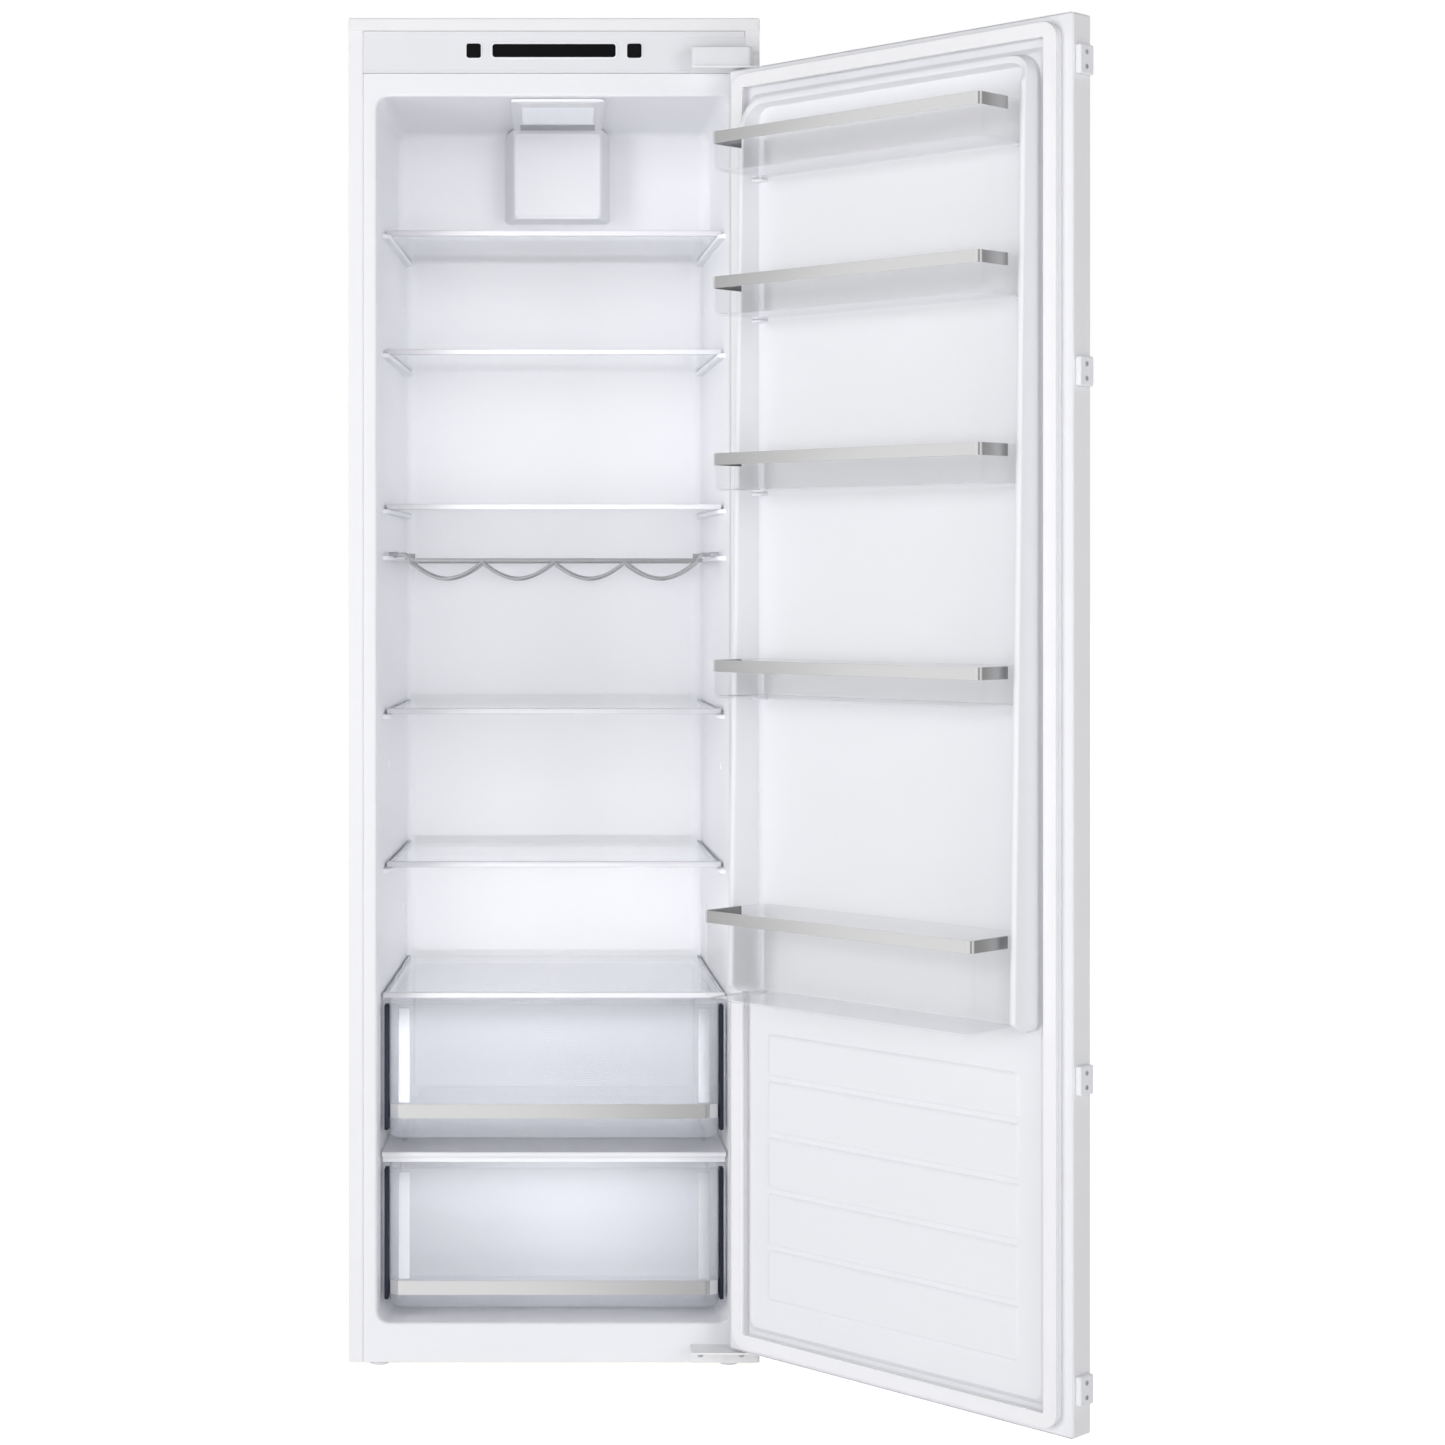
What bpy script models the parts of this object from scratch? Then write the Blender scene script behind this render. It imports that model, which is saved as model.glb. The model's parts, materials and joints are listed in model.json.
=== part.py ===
"""Built-in larder refrigerator, right-hinged, standing open.

Metres, +Z up. The front of the cabinet faces -Y and the viewer's right is +X. The origin is the
middle of the cabinet's base, on the floor. Pieces are drawn from the cabinet's front plane
(y = 0 there, y grows to the back) and hang from an empty that puts them in place. The door's
pieces are drawn closed and hang from a second empty on the hinge axis, which turns them open.
"""

import math

import bmesh
import bpy

# Overall sizes
CABINET_WIDTH = 0.540
CABINET_HEIGHT = 1.770
CABINET_DEPTH = 0.496
GAP = 0.0003
OVERRUN = 0.010
WELD_SHARE = 0.1
LARGE_ROUND_SIDES = 20
SMALL_ROUND_SIDES = 16
SMOOTH_ANGLE = math.radians(35)
WIRE_BEVEL_STEPS = 1

# Outer casing
SHEET = 0.001
CASING_FLANGE = 0.019
CASING_LIFT = 0.0046
BASE_FRONT = 0.0305
BASE_SHEET = 0.0012
BASE_UPSTAND = 0.025
TOP_PANEL_DROP = 0.0015
STRIP_HEIGHT = 0.017
STRIP_SHEET = 0.0012
STRIP_DEPTH = 0.030
BACK_SHEET = 0.0012

# Condenser on the back
COIL_TUBE = 0.005
COIL_SIDE_INSET = 0.070
COIL_RISE = 0.163
COIL_TOP_DROP = 0.150
COIL_PASSES = 14
COIL_TURN_POINTS = 5
COIL_DROP_SHARE = 0.8967
COIL_BEND = 0.020
COIL_BEND_STEPS = 3

# Control panel
FASCIA_HEIGHT = 0.0552
FASCIA_DEPTH = 0.030
FASCIA_WALL = 0.0025
DISPLAY_WIDTH = 0.1636
DISPLAY_HEIGHT = 0.0192
DISPLAY_TOP_DROP = 0.0160
DISPLAY_SHEET = 0.002
KEY_SIZE = 0.0190
KEY_SPACING = 0.2110
KEY_PROUD = 0.0005
KEY_TRAVEL = 0.0008
BOARD_WIDTH = 0.250
BOARD_HEIGHT = 0.028
BOARD_SHEET = 0.0016
BOARD_SETBACK = 0.0120
BOARD_POST = 0.006
BOARD_POST_REACH_SHARE = 0.44

# Cavity and its liner
SIDE_WALL_FRONT = 0.0376
SIDE_WALL_BACK = 0.0540
BACK_WALL = 0.056
CAVITY_FLOOR = 0.0565
CAVITY_HEADER = 0.0308
CAVITY_CORNER = 0.013
CORNER_STEPS = 3
CORNER_PROFILE_SHARE = 0.5
LINER_WALL = 0.003
LINER_FLANGE = 0.003
HOUSING_BACK_SPACE = 0.135
HOUSING_CLEARANCE = 0.0065
STEP_BACK_SPACE = 0.210
STEP_DROP = 0.0130
NICHE_FOAM = 0.035
RIB_REACH = 0.010
RIB_HEIGHT = 0.006
RIB_FRONT = 0.075
RIB_END_CLEARANCE = 0.015

# Shelves, rack and drawers
SHELF_HEIGHT_SHARES = (0.8954, 0.7960, 0.6662, 0.4949, 0.3663)
RACK_HEIGHT_SHARE = 0.6258
COVER_HEIGHT_SHARE = 0.2600
DIVIDER_HEIGHT_SHARE = 0.1347
SHELF_GLASS = 0.004
SHELF_FRONT = 0.100
SHELF_SIDE_CLEARANCE = 0.003
SHELF_BACK_CLEARANCE = 0.002
SHELF_LIP = 0.008
SHELF_LIP_WALL = 0.003
COVER_GLASS = 0.0045
COVER_FRONT = 0.050
DIVIDER_PLATE = 0.005
DIVIDER_LIP = 0.0155
DIVIDER_LIP_DEPTH = 0.008
RACK_WIRE = 0.004
RACK_FRONT = 0.130
RACK_BACK_CLEARANCE = 0.040
RACK_END_INSET = 0.027
RACK_TROUGH = 0.0230
RACK_WAVES = 4
RACK_HOOK_DROP = 0.0095
RACK_HOOK_CLEARANCE = 0.0015
RACK_RAIL_INSET = 0.018
RACK_WAVE_STEPS = 8
RACK_OVERLAP_SHARES = (0.31, 0.43)
DRAWER_FRONT = 0.035
DRAWER_SIDE_CLEARANCE = 0.0106
DRAWER_BACK_CLEARANCE = 0.015
DRAWER_TOP_CLEARANCE = 0.0055
DRAWER_LIFT = 0.0008
DRAWER_WALL = 0.003
DRAWER_TOE_HEIGHT = 0.016
DRAWER_TOE_DEPTH = 0.012
DRAWER_STRIP_HEIGHT = 0.019
DRAWER_STRIP_SHEET = 0.001
DRAWER_STRIP_INSET = 0.002
UPPER_STRIP_RISE = 0.044
LOWER_STRIP_RISE = 0.027

# Air duct, lamp and fan
DUCT_OFFSET = 0.005
DUCT_DEPTH = 0.055
DUCT_FRONT_HALF = 0.062
DUCT_BASE_HALF = 0.074
DUCT_WALL = 0.0025
DUCT_RISE = 0.0227
DUCT_CEILING_PLATE = 0.005
DUCT_CEILING_FRONT = 0.012
DUCT_COVER_HALF = 0.0605
DUCT_COVER_SHEET = 0.003
DUCT_COVER_TOP_SLOT = 0.0025
DUCT_COVER_CORNER = 0.006
DUCT_MOUTH_RADIUS = 0.044
LAMP_HALF = 0.048
LAMP_FRONT = 0.053
LAMP_BACK_CLEARANCE = 0.067
LAMP_PROUD = 0.001
FAN_RADIUS = 0.041
FAN_HUB = 0.015
FAN_BLADES = 7
FAN_BLADE_SHARE = 0.62
FAN_THICKNESS = 0.010
FAN_SETBACK = 0.010
MOTOR_RADIUS = 0.018
AIR_SLOT_NEAR = 0.026
AIR_SLOT_FAR = 0.050
AIR_SLOT_HALF_HEIGHT = 0.035

# Evaporator
EVAPORATOR_SIDE_SPACE = 0.046
EVAPORATOR_DEPTH = 0.060
EVAPORATOR_TOP_DROP = 0.014
EVAPORATOR_FINS = 12
EVAPORATOR_SPINE = 0.012
EVAPORATOR_CLEARANCE = 0.010
EVAPORATOR_FIN_SHARE = 0.4

# Machine compartment
COMPRESSOR_RADIUS = 0.070
MACHINE_HEADROOM = 0.0211
COMPRESSOR_X = -0.080
COMPRESSOR_BACK_CLEARANCE = 0.030
COMPRESSOR_DOME_SHARES = ((1.0, 0.30), (1.0, 0.62), (0.88, 0.82), (0.60, 0.95), (0.25, 1.0))
COMPRESSOR_BELLY_SHARES = ((0.55, 0.0), (0.85, 0.08), (0.97, 0.18))
COMPRESSOR_PLATE = 0.003
COMPRESSOR_PLATE_WIDTH = 0.190
COMPRESSOR_PLATE_DEPTH = 0.110
COMPRESSOR_FOOT_RADIUS = 0.010
COMPRESSOR_FOOT_HEIGHT = 0.014
TRAY_WIDTH = 0.150
TRAY_DEPTH = 0.110
TRAY_HEIGHT = 0.020
TRAY_WALL = 0.002
GLAND_RADIUS = 0.011
GLAND_BORE = 0.005
GLAND_LENGTH = 0.0050
GLAND_SIDE_INSET = 0.055
GLAND_RISE = 0.043

# Feet
FOOT_SIDE_INSET = 0.040
FOOT_RADIUS = 0.013
FOOT_STEM = 0.004
FOOT_STEM_CLEARANCE = 0.0005
FOOT_STEM_LENGTH = 0.028
FOOT_SETBACK = 0.016

# Door
DOOR_THICKNESS = 0.035
GASKET_DEPTH = 0.014
DOOR_BOTTOM = 0.031
DOOR_TOP_CLEARANCE = 0.0028
DOOR_ANGLE = math.radians(134.2)
PIVOT_INSET = 0.018
PIVOT_DEPTH = 0.0153
DOOR_SHEET = 0.001
DOOR_PLATE = 0.002
PLATEAU_HEIGHT = 0.006
PLATEAU_SIDE_INSET = 0.0395
PLATEAU_BOTTOM_INSET = 0.036
PLATEAU_TOP_INSET = 0.040
PLATEAU_DRAFT = 0.002
RIDGE_HEIGHT = 0.055
RIDGE_SIDE_INSET = 0.042
RIDGE_THICKNESS = 0.014
RIDGE_DRAFT = 0.006
RIDGE_BOTTOM_SHARE = 0.2837
RIDGE_TOP_INSET = 0.042
RIDGE_CORNER = 0.035
RIDGE_CORNER_STEPS = 5
EMBOSS_HEIGHT = 0.0015
EMBOSS_SIDE_INSET = 0.073
EMBOSS_LINE_SHARES = (0.0450, 0.0877, 0.1310, 0.1743, 0.2176, 0.2538)
EMBOSS_GROOVE = 0.006
GASKET_SIDE_INSET = 0.016
GASKET_END_INSET = 0.009
GASKET_WIDTH = 0.018

# Hinges
HINGE_PLATE = 0.0025
HINGE_PIN = 0.004
HINGE_PIN_CLEARANCE = 0.0005
HINGE_PIN_REACH = 0.0155
HINGE_NOSE = 0.012
HINGE_SPAN = 0.088
HINGE_END_INSET = 0.003
HINGE_LEG = 0.0025
HINGE_LEG_HEIGHT = 0.022
HINGE_COVER_INSET = 0.012
HINGE_COVER_HEIGHT = 0.0262
HINGE_COVER_REACH = 0.036
HINGE_COVER_WALL = 0.002
BUSH_WALL = 0.0022
BUSH_LENGTH = 0.012

# Door bins
BIN_BOTTOM_SHARES = (0.9111, 0.8023, 0.6689, 0.5120, 0.2843)
BIN_HEIGHTS = (0.051, 0.049, 0.048, 0.0485, 0.1125)
BIN_DEPTHS = (0.100, 0.100, 0.100, 0.100, 0.115)
BIN_SIDE_CLEARANCE = 0.006
BIN_WALL = 0.0025
BIN_CORNER = 0.014
BIN_STRIP_HEIGHT = 0.015
BIN_STRIP_SHEET = 0.001
BIN_STRIP_START = 0.045
LUG_REACH = 0.010
LUG_DEPTH = 0.036
LUG_HEIGHT = 0.008

# Furniture door brackets
BRACKET_HEIGHT_SHARES = (0.9671, 0.7483, 0.2508, 0.0334)
BRACKET_HEIGHT = 0.035
BRACKET_DEPTH = 0.028
BRACKET_PROUD = 0.0065
BRACKET_EDGE = 0.0015

# Places worked out from the sizes
HALF_WIDTH = CABINET_WIDTH / 2
CASING_DEPTH = CABINET_DEPTH - COIL_TUBE - GAP
SHELL_HALF = HALF_WIDTH - SHEET - GAP
OPENING_HALF = HALF_WIDTH - CASING_FLANGE - GAP
BACK_PLANE = CASING_DEPTH - BACK_SHEET - GAP
TOP_PANEL_TOP = CABINET_HEIGHT - TOP_PANEL_DROP
FASCIA_TOP = CABINET_HEIGHT - STRIP_HEIGHT - GAP
FASCIA_BOTTOM = CABINET_HEIGHT - STRIP_HEIGHT - FASCIA_HEIGHT
DISPLAY_CENTRE = FASCIA_TOP - DISPLAY_TOP_DROP - DISPLAY_HEIGHT / 2
CAVITY_TOP = FASCIA_BOTTOM - CAVITY_HEADER
CAVITY_HEIGHT = CAVITY_TOP - CAVITY_FLOOR
CAVITY_FRONT_WIDTH = CABINET_WIDTH - 2 * SIDE_WALL_FRONT
CAVITY_BACK_WIDTH = CABINET_WIDTH - 2 * SIDE_WALL_BACK
CAVITY_DEPTH = CABINET_DEPTH - BACK_WALL
HOUSING_DEPTH = CAVITY_DEPTH - HOUSING_BACK_SPACE
STEP_DEPTH = CAVITY_DEPTH - STEP_BACK_SPACE
TOP_SHELF_BOTTOM = CAVITY_FLOOR + SHELF_HEIGHT_SHARES[0] * CAVITY_HEIGHT - SHELF_GLASS / 2
HOUSING_BOTTOM = TOP_SHELF_BOTTOM + SHELF_GLASS + SHELF_LIP + HOUSING_CLEARANCE
DIVIDER_TOP = CAVITY_FLOOR + DIVIDER_HEIGHT_SHARE * CAVITY_HEIGHT
DIVIDER_BOTTOM = DIVIDER_TOP - DIVIDER_LIP
STEP_TOP = DIVIDER_BOTTOM - STEP_DROP
COVER_BOTTOM = CAVITY_FLOOR + COVER_HEIGHT_SHARE * CAVITY_HEIGHT
RACK_RIB_TOP = CAVITY_FLOOR + RACK_HEIGHT_SHARE * CAVITY_HEIGHT
SHELF_BACK = CAVITY_DEPTH - SHELF_BACK_CLEARANCE
RIB_BACK = CAVITY_DEPTH - RIB_END_CLEARANCE
NICHE_FRONT = STEP_DEPTH + LINER_WALL + NICHE_FOAM
NICHE_TOP = STEP_TOP - LINER_WALL - NICHE_FOAM
MACHINE_FLOOR = BASE_SHEET + GAP
COMPRESSOR_BOTTOM = MACHINE_FLOOR + COMPRESSOR_FOOT_HEIGHT
TRAY_BOTTOM = NICHE_TOP - MACHINE_HEADROOM - TRAY_HEIGHT
COMPRESSOR_HEIGHT = TRAY_BOTTOM - GAP - COMPRESSOR_BOTTOM
EVAPORATOR_WIDTH = CAVITY_BACK_WIDTH - 2 * EVAPORATOR_SIDE_SPACE
EVAPORATOR_BOTTOM = HOUSING_BOTTOM + LINER_WALL + EVAPORATOR_CLEARANCE
EVAPORATOR_TOP = CAVITY_TOP - EVAPORATOR_TOP_DROP
COIL_HALF_WIDTH = HALF_WIDTH - COIL_SIDE_INSET
COIL_BOTTOM = NICHE_TOP + COIL_RISE
COIL_TOP = CABINET_HEIGHT - COIL_TOP_DROP
GLAND_X = GLAND_SIDE_INSET - HALF_WIDTH
GLAND_HEIGHT = NICHE_TOP + GLAND_RISE
FOOT_X = HALF_WIDTH - FOOT_SIDE_INSET
RACK_HALF = CAVITY_BACK_WIDTH / 2 - RACK_END_INSET
RACK_RAIL_HALF = CAVITY_BACK_WIDTH / 2 - RACK_RAIL_INSET
DUCT_FRONT = HOUSING_DEPTH - DUCT_DEPTH
DUCT_BOTTOM = HOUSING_BOTTOM + DUCT_RISE
DUCT_TOP = CAVITY_TOP - GAP - DUCT_CEILING_PLATE
LAMP_BACK = DUCT_FRONT - LAMP_BACK_CLEARANCE
DOOR_TOP = FASCIA_BOTTOM - DOOR_TOP_CLEARANCE
DOOR_HEIGHT = DOOR_TOP - DOOR_BOTTOM
DOOR_INNER = -GASKET_DEPTH
DOOR_OUTER = DOOR_INNER - DOOR_THICKNESS
PIVOT_X = HALF_WIDTH - PIVOT_INSET
PIVOT_Y = DOOR_INNER - PIVOT_DEPTH
RIDGE_INNER_HALF = HALF_WIDTH - RIDGE_SIDE_INSET - RIDGE_THICKNESS
EMBOSS_HALF_WIDTH = HALF_WIDTH - EMBOSS_SIDE_INSET
BIN_HALF_WIDTH = RIDGE_INNER_HALF - BIN_SIDE_CLEARANCE
BIN_BACK = DOOR_INNER + PLATEAU_HEIGHT + GAP

# Colour, roughness, metallic and how much light passes through
FINISHES = {
    "painted": ((0.90, 0.90, 0.92), 0.35, 0.0, 0.0),
    "plastic": ((0.91, 0.91, 0.94), 0.45, 0.0, 0.0),
    "zinc": ((0.62, 0.63, 0.65), 0.35, 1.0, 0.0),
    "silver": ((0.66, 0.66, 0.66), 0.30, 1.0, 0.0),
    "chrome": ((0.75, 0.76, 0.78), 0.12, 1.0, 0.0),
    "glass": ((0.90, 0.93, 0.95), 0.05, 0.0, 0.9),
    "clear": ((0.88, 0.90, 0.96), 0.15, 0.0, 0.8),
    "display": ((0.01, 0.01, 0.015), 0.10, 0.0, 0.0),
    "key": ((0.05, 0.05, 0.06), 0.30, 0.0, 0.0),
    "foam": ((0.80, 0.72, 0.52), 0.90, 0.0, 0.0),
    "rubber": ((0.86, 0.86, 0.88), 0.60, 0.0, 0.0),
    "black_steel": ((0.02, 0.02, 0.02), 0.40, 0.0, 0.0),
    "dark_plastic": ((0.03, 0.03, 0.035), 0.50, 0.0, 0.0),
    "circuit": ((0.02, 0.14, 0.06), 0.50, 0.0, 0.0),
    "aluminium": ((0.70, 0.71, 0.73), 0.35, 1.0, 0.0),
    "lens": ((0.95, 0.96, 1.0), 0.25, 0.0, 0.4),
}


def clear_scene():
    """Remove every object that the scene holds."""
    for obj in list(bpy.data.objects):
        bpy.data.objects.remove(obj)


def finish(name, kind):
    """A Principled material of its own for one piece."""
    colour, roughness, metallic, passing = FINISHES[kind]
    material = bpy.data.materials.new(name + "_finish")
    material.use_nodes = True
    shader = material.node_tree.nodes["Principled BSDF"]
    shader.inputs["Base Color"].default_value = (*colour, 1.0)
    shader.inputs["Roughness"].default_value = roughness
    shader.inputs["Metallic"].default_value = metallic
    shader.inputs["Transmission Weight"].default_value = passing
    return material


def closed_mesh(name, points, faces):
    """A mesh of these points and faces, with every face turned outwards."""
    mesh = bpy.data.meshes.new(name)
    mesh.from_pydata(points, [], faces)
    shape = bmesh.new()
    shape.from_mesh(mesh)
    bmesh.ops.recalc_face_normals(shape, faces=shape.faces)
    shape.to_mesh(mesh)
    shape.free()
    return mesh


def skinned(name, rings):
    """A solid from outlines of equal length: side faces between them, and the two ends closed."""
    count = len(rings[0])
    points = [point for ring in rings for point in ring]
    faces = [tuple(reversed(range(count)))]
    for level in range(len(rings) - 1):
        low, high = level * count, (level + 1) * count
        for i in range(count):
            after = (i + 1) % count
            faces.append((low + i, low + after, high + after, high + i))
    faces.append(tuple(range(len(points) - count, len(points))))
    return closed_mesh(name, points, faces)


def block(name, xs, ys, zs):
    """A box between two values on each axis."""
    (x0, x1), (y0, y1), (z0, z1) = xs, ys, zs
    ring = ((x0, y0), (x1, y0), (x1, y1), (x0, y1))
    return skinned(name, [[(x, y, z) for x, y in ring] for z in (z0, z1)])


def flat_prism(name, outline, zs):
    """An outline of (x, y) carried up between two heights."""
    return skinned(name, [[(x, y, z) for x, y in outline] for z in zs])


def side_prism(name, outline, xs):
    """An outline of (y, z) carried across between two values of x."""
    return skinned(name, [[(x, y, z) for y, z in outline] for x in xs])


def facing_prism(name, outline, ys):
    """An outline of (x, z) carried back between two depths."""
    return skinned(name, [[(x, y, z) for x, z in outline] for y in ys])


def wall_x(depth):
    """Half the cavity's width at this depth: its side walls draw in towards the back."""
    return (CAVITY_FRONT_WIDTH + (CAVITY_BACK_WIDTH - CAVITY_FRONT_WIDTH) * depth / CAVITY_DEPTH) / 2


def between_walls(name, outline, inset):
    """An outline of (y, z) carried from side wall to side wall, less an inset."""
    sides = (-1, 1)
    return skinned(name, [[(s * (wall_x(y) - inset), y, z) for y, z in outline] for s in sides])


def circle(radius, sides, centre=(0, 0)):
    """Points of a circle, or of a polygon that stands for one."""
    turn = 2 * math.pi / sides
    cx, cy = centre
    return [(cx + radius * math.cos(i * turn), cy + radius * math.sin(i * turn)) for i in range(sides)]


def pin(name, radius, centre, zs):
    """An upright round pin."""
    return flat_prism(name, circle(radius, SMALL_ROUND_SIDES, centre), zs)


def turned(name, profile, centre, sides):
    """A profile of (radius, z) turned about an upright axis and closed at both ends."""
    rings = [[(x, y, z) for x, y in circle(radius, sides, centre)] for radius, z in profile]
    return skinned(name, rings)


def arch(half, bottom, top, radius, steps):
    """An upright arch of (x, z): up the left side, over two rounded corners, down the right side."""
    points = [(-half, bottom)]
    quarter = math.pi / 2
    for side, start in ((-1, 2 * quarter), (1, quarter)):
        for i in range(steps + 1):
            angle = start - quarter * i / steps
            x = side * (half - radius) + radius * math.cos(angle)
            points.append((x, top - radius + radius * math.sin(angle)))
    points.append((half, bottom))
    return points


def rounded(half, height, radius, steps, centre):
    """A rectangle of (x, z) with round corners about a centre."""
    cx, cz = centre
    points = []
    quarter = math.pi / 2
    corners = ((1, 1), (-1, 1), (-1, -1), (1, -1))
    for turn, (sx, sz) in enumerate(corners):
        for i in range(steps + 1):
            angle = quarter * (turn + i / steps)
            x = sx * (half - radius) + radius * math.cos(angle)
            z = sz * (height - radius) + radius * math.sin(angle)
            points.append((cx + x, cz + z))
    return points


def several(name, meshes):
    """Meshes gathered in one, to be added or cut together."""
    shape = bmesh.new()
    for mesh in meshes:
        shape.from_mesh(mesh)
    gathered = bpy.data.meshes.new(name)
    shape.to_mesh(gathered)
    shape.free()
    return gathered


def add_piece(name, mesh, parent, kind):
    """A named object with its own finish, hung from an empty."""
    obj = bpy.data.objects.new(name, mesh)
    bpy.context.collection.objects.link(obj)
    obj.data.materials.append(finish(name, kind))
    obj.parent = parent
    obj.location = parent["drawn_from"]
    return obj


def combine(obj, operation, meshes):
    """Boolean modifiers that cut meshes from an object or add them to it."""
    for mesh in meshes:
        tool = bpy.data.objects.new(obj.name + "_" + mesh.name, mesh)
        bpy.context.collection.objects.link(tool)
        tool.parent = obj.parent
        tool.location = obj.location
        tool.hide_render = True
        tool.display_type = "WIRE"
        modifier = obj.modifiers.new(mesh.name, "BOOLEAN")
        modifier.operation = operation
        modifier.object = tool
        modifier.solver = "EXACT"


def cut(obj, *meshes):
    """Take these meshes out of an object."""
    combine(obj, "DIFFERENCE", meshes)


def unite(obj, *meshes):
    """Add these meshes to an object."""
    combine(obj, "UNION", meshes)


def smooth(obj):
    """Shade the round faces of an object smooth and keep its edges crisp."""
    obj.data.shade_smooth()
    obj.data.set_sharp_from_angle(angle=SMOOTH_ANGLE)


def chamfer(obj, width):
    """A small flat bevel on every sharp edge."""
    modifier = obj.modifiers.new("edges", "BEVEL")
    modifier.width = width
    modifier.segments = 1
    modifier.limit_method = "ANGLE"


def empty(name, location, parent, drawn_from, angle=0.0):
    """An empty that carries pieces, with the point that their drawings start from."""
    obj = bpy.data.objects.new(name, None)
    bpy.context.collection.objects.link(obj)
    obj.parent = parent
    obj.location = location
    obj.rotation_euler = (0, 0, angle)
    obj["drawn_from"] = drawn_from
    return obj


def build_casing(front):
    """Side panels with front flanges, top panel, base plate, back panel and the top strip."""
    inner = HALF_WIDTH - SHEET
    flange = HALF_WIDTH - CASING_FLANGE
    zs = (CASING_LIFT, TOP_PANEL_TOP)
    for name, s in (("side_panel_left", -1), ("side_panel_right", 1)):
        outline = [(HALF_WIDTH, 0), (HALF_WIDTH, CASING_DEPTH), (inner, CASING_DEPTH),
                   (inner, SHEET), (flange, SHEET), (flange, 0)]
        add_piece(name, flat_prism(name, [(s * x, y) for x, y in outline], zs), front, "painted")

    top = block("top_panel", (-SHELL_HALF, SHELL_HALF), (SHEET + GAP, CASING_DEPTH),
                (TOP_PANEL_TOP - SHEET, TOP_PANEL_TOP))
    add_piece("top_panel", top, front, "painted")

    wing = SHELL_HALF - BASE_SHEET
    outline = [(-SHELL_HALF, 0), (SHELL_HALF, 0), (SHELL_HALF, BASE_UPSTAND), (wing, BASE_UPSTAND),
               (wing, BASE_SHEET), (-wing, BASE_SHEET), (-wing, BASE_UPSTAND),
               (-SHELL_HALF, BASE_UPSTAND)]
    base = facing_prism("base_plate", outline, (BASE_FRONT, CASING_DEPTH))
    add_piece("base_plate", base, front, "zinc")

    back = block("back_panel", (-SHELL_HALF, SHELL_HALF), (CASING_DEPTH - BACK_SHEET, CASING_DEPTH),
                 (NICHE_TOP, TOP_PANEL_TOP - SHEET - GAP))
    add_piece("back_panel", back, front, "zinc")

    low, high = CABINET_HEIGHT - STRIP_HEIGHT, CABINET_HEIGHT
    near, far = -STRIP_SHEET - GAP, -GAP
    under = high - STRIP_SHEET
    outline = [(near, low), (far, low), (far, under), (STRIP_DEPTH, under),
               (STRIP_DEPTH, high), (near, high)]
    strip = side_prism("top_fixing_strip", outline, (-SHELL_HALF, SHELL_HALF))
    add_piece("top_fixing_strip", strip, front, "painted")


def cavity_outline(wall, start):
    """The cavity seen from the side, grown by a wall: step at the low back, housing at the top."""
    return [(start, CAVITY_FLOOR - wall), (STEP_DEPTH + wall, CAVITY_FLOOR - wall),
            (STEP_DEPTH + wall, STEP_TOP - wall), (CAVITY_DEPTH + wall, STEP_TOP - wall),
            (CAVITY_DEPTH + wall, HOUSING_BOTTOM + wall), (HOUSING_DEPTH + wall, HOUSING_BOTTOM + wall),
            (HOUSING_DEPTH + wall, CAVITY_TOP + wall), (start, CAVITY_TOP + wall)]


def rounded_cavity(name, wall, start):
    """The cavity's volume with its long corners rounded."""
    mesh = between_walls(name, cavity_outline(wall, start), -wall)
    shape = bmesh.new()
    shape.from_mesh(mesh)
    levels = (CAVITY_FLOOR - wall, CAVITY_TOP + wall)
    long_edges = []
    for edge in shape.edges:
        a, b = (vert.co for vert in edge.verts)
        level = min(abs(a.z - z) + abs(b.z - z) for z in levels)
        if level < GAP and abs(a.y - b.y) > OVERRUN and a.x * b.x > 0:
            long_edges.append(edge)
    bmesh.ops.bevel(shape, geom=long_edges, offset=CAVITY_CORNER, segments=CORNER_STEPS,
                    profile=CORNER_PROFILE_SHARE, affect="EDGES")
    shape.to_mesh(mesh)
    shape.free()
    return mesh


def rib_pair(name, top):
    """A rib on each side wall, which carries what slides on it."""
    ribs = []
    low = top - RIB_HEIGHT
    for s in (-1, 1):
        rings = []
        for y in (RIB_FRONT, RIB_BACK):
            near = s * (wall_x(y) - RIB_REACH)
            far = s * (wall_x(y) + LINER_WALL / 2)
            rings.append([(near, y, low), (far, y, low), (far, y, top), (near, y, top)])
        ribs.append(skinned(name, rings))
    return several(name, ribs)


def shelf_bottom(share):
    """The underside of a shelf's glass, from its share of the cavity's height."""
    return CAVITY_FLOOR + share * CAVITY_HEIGHT - SHELF_GLASS / 2


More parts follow.
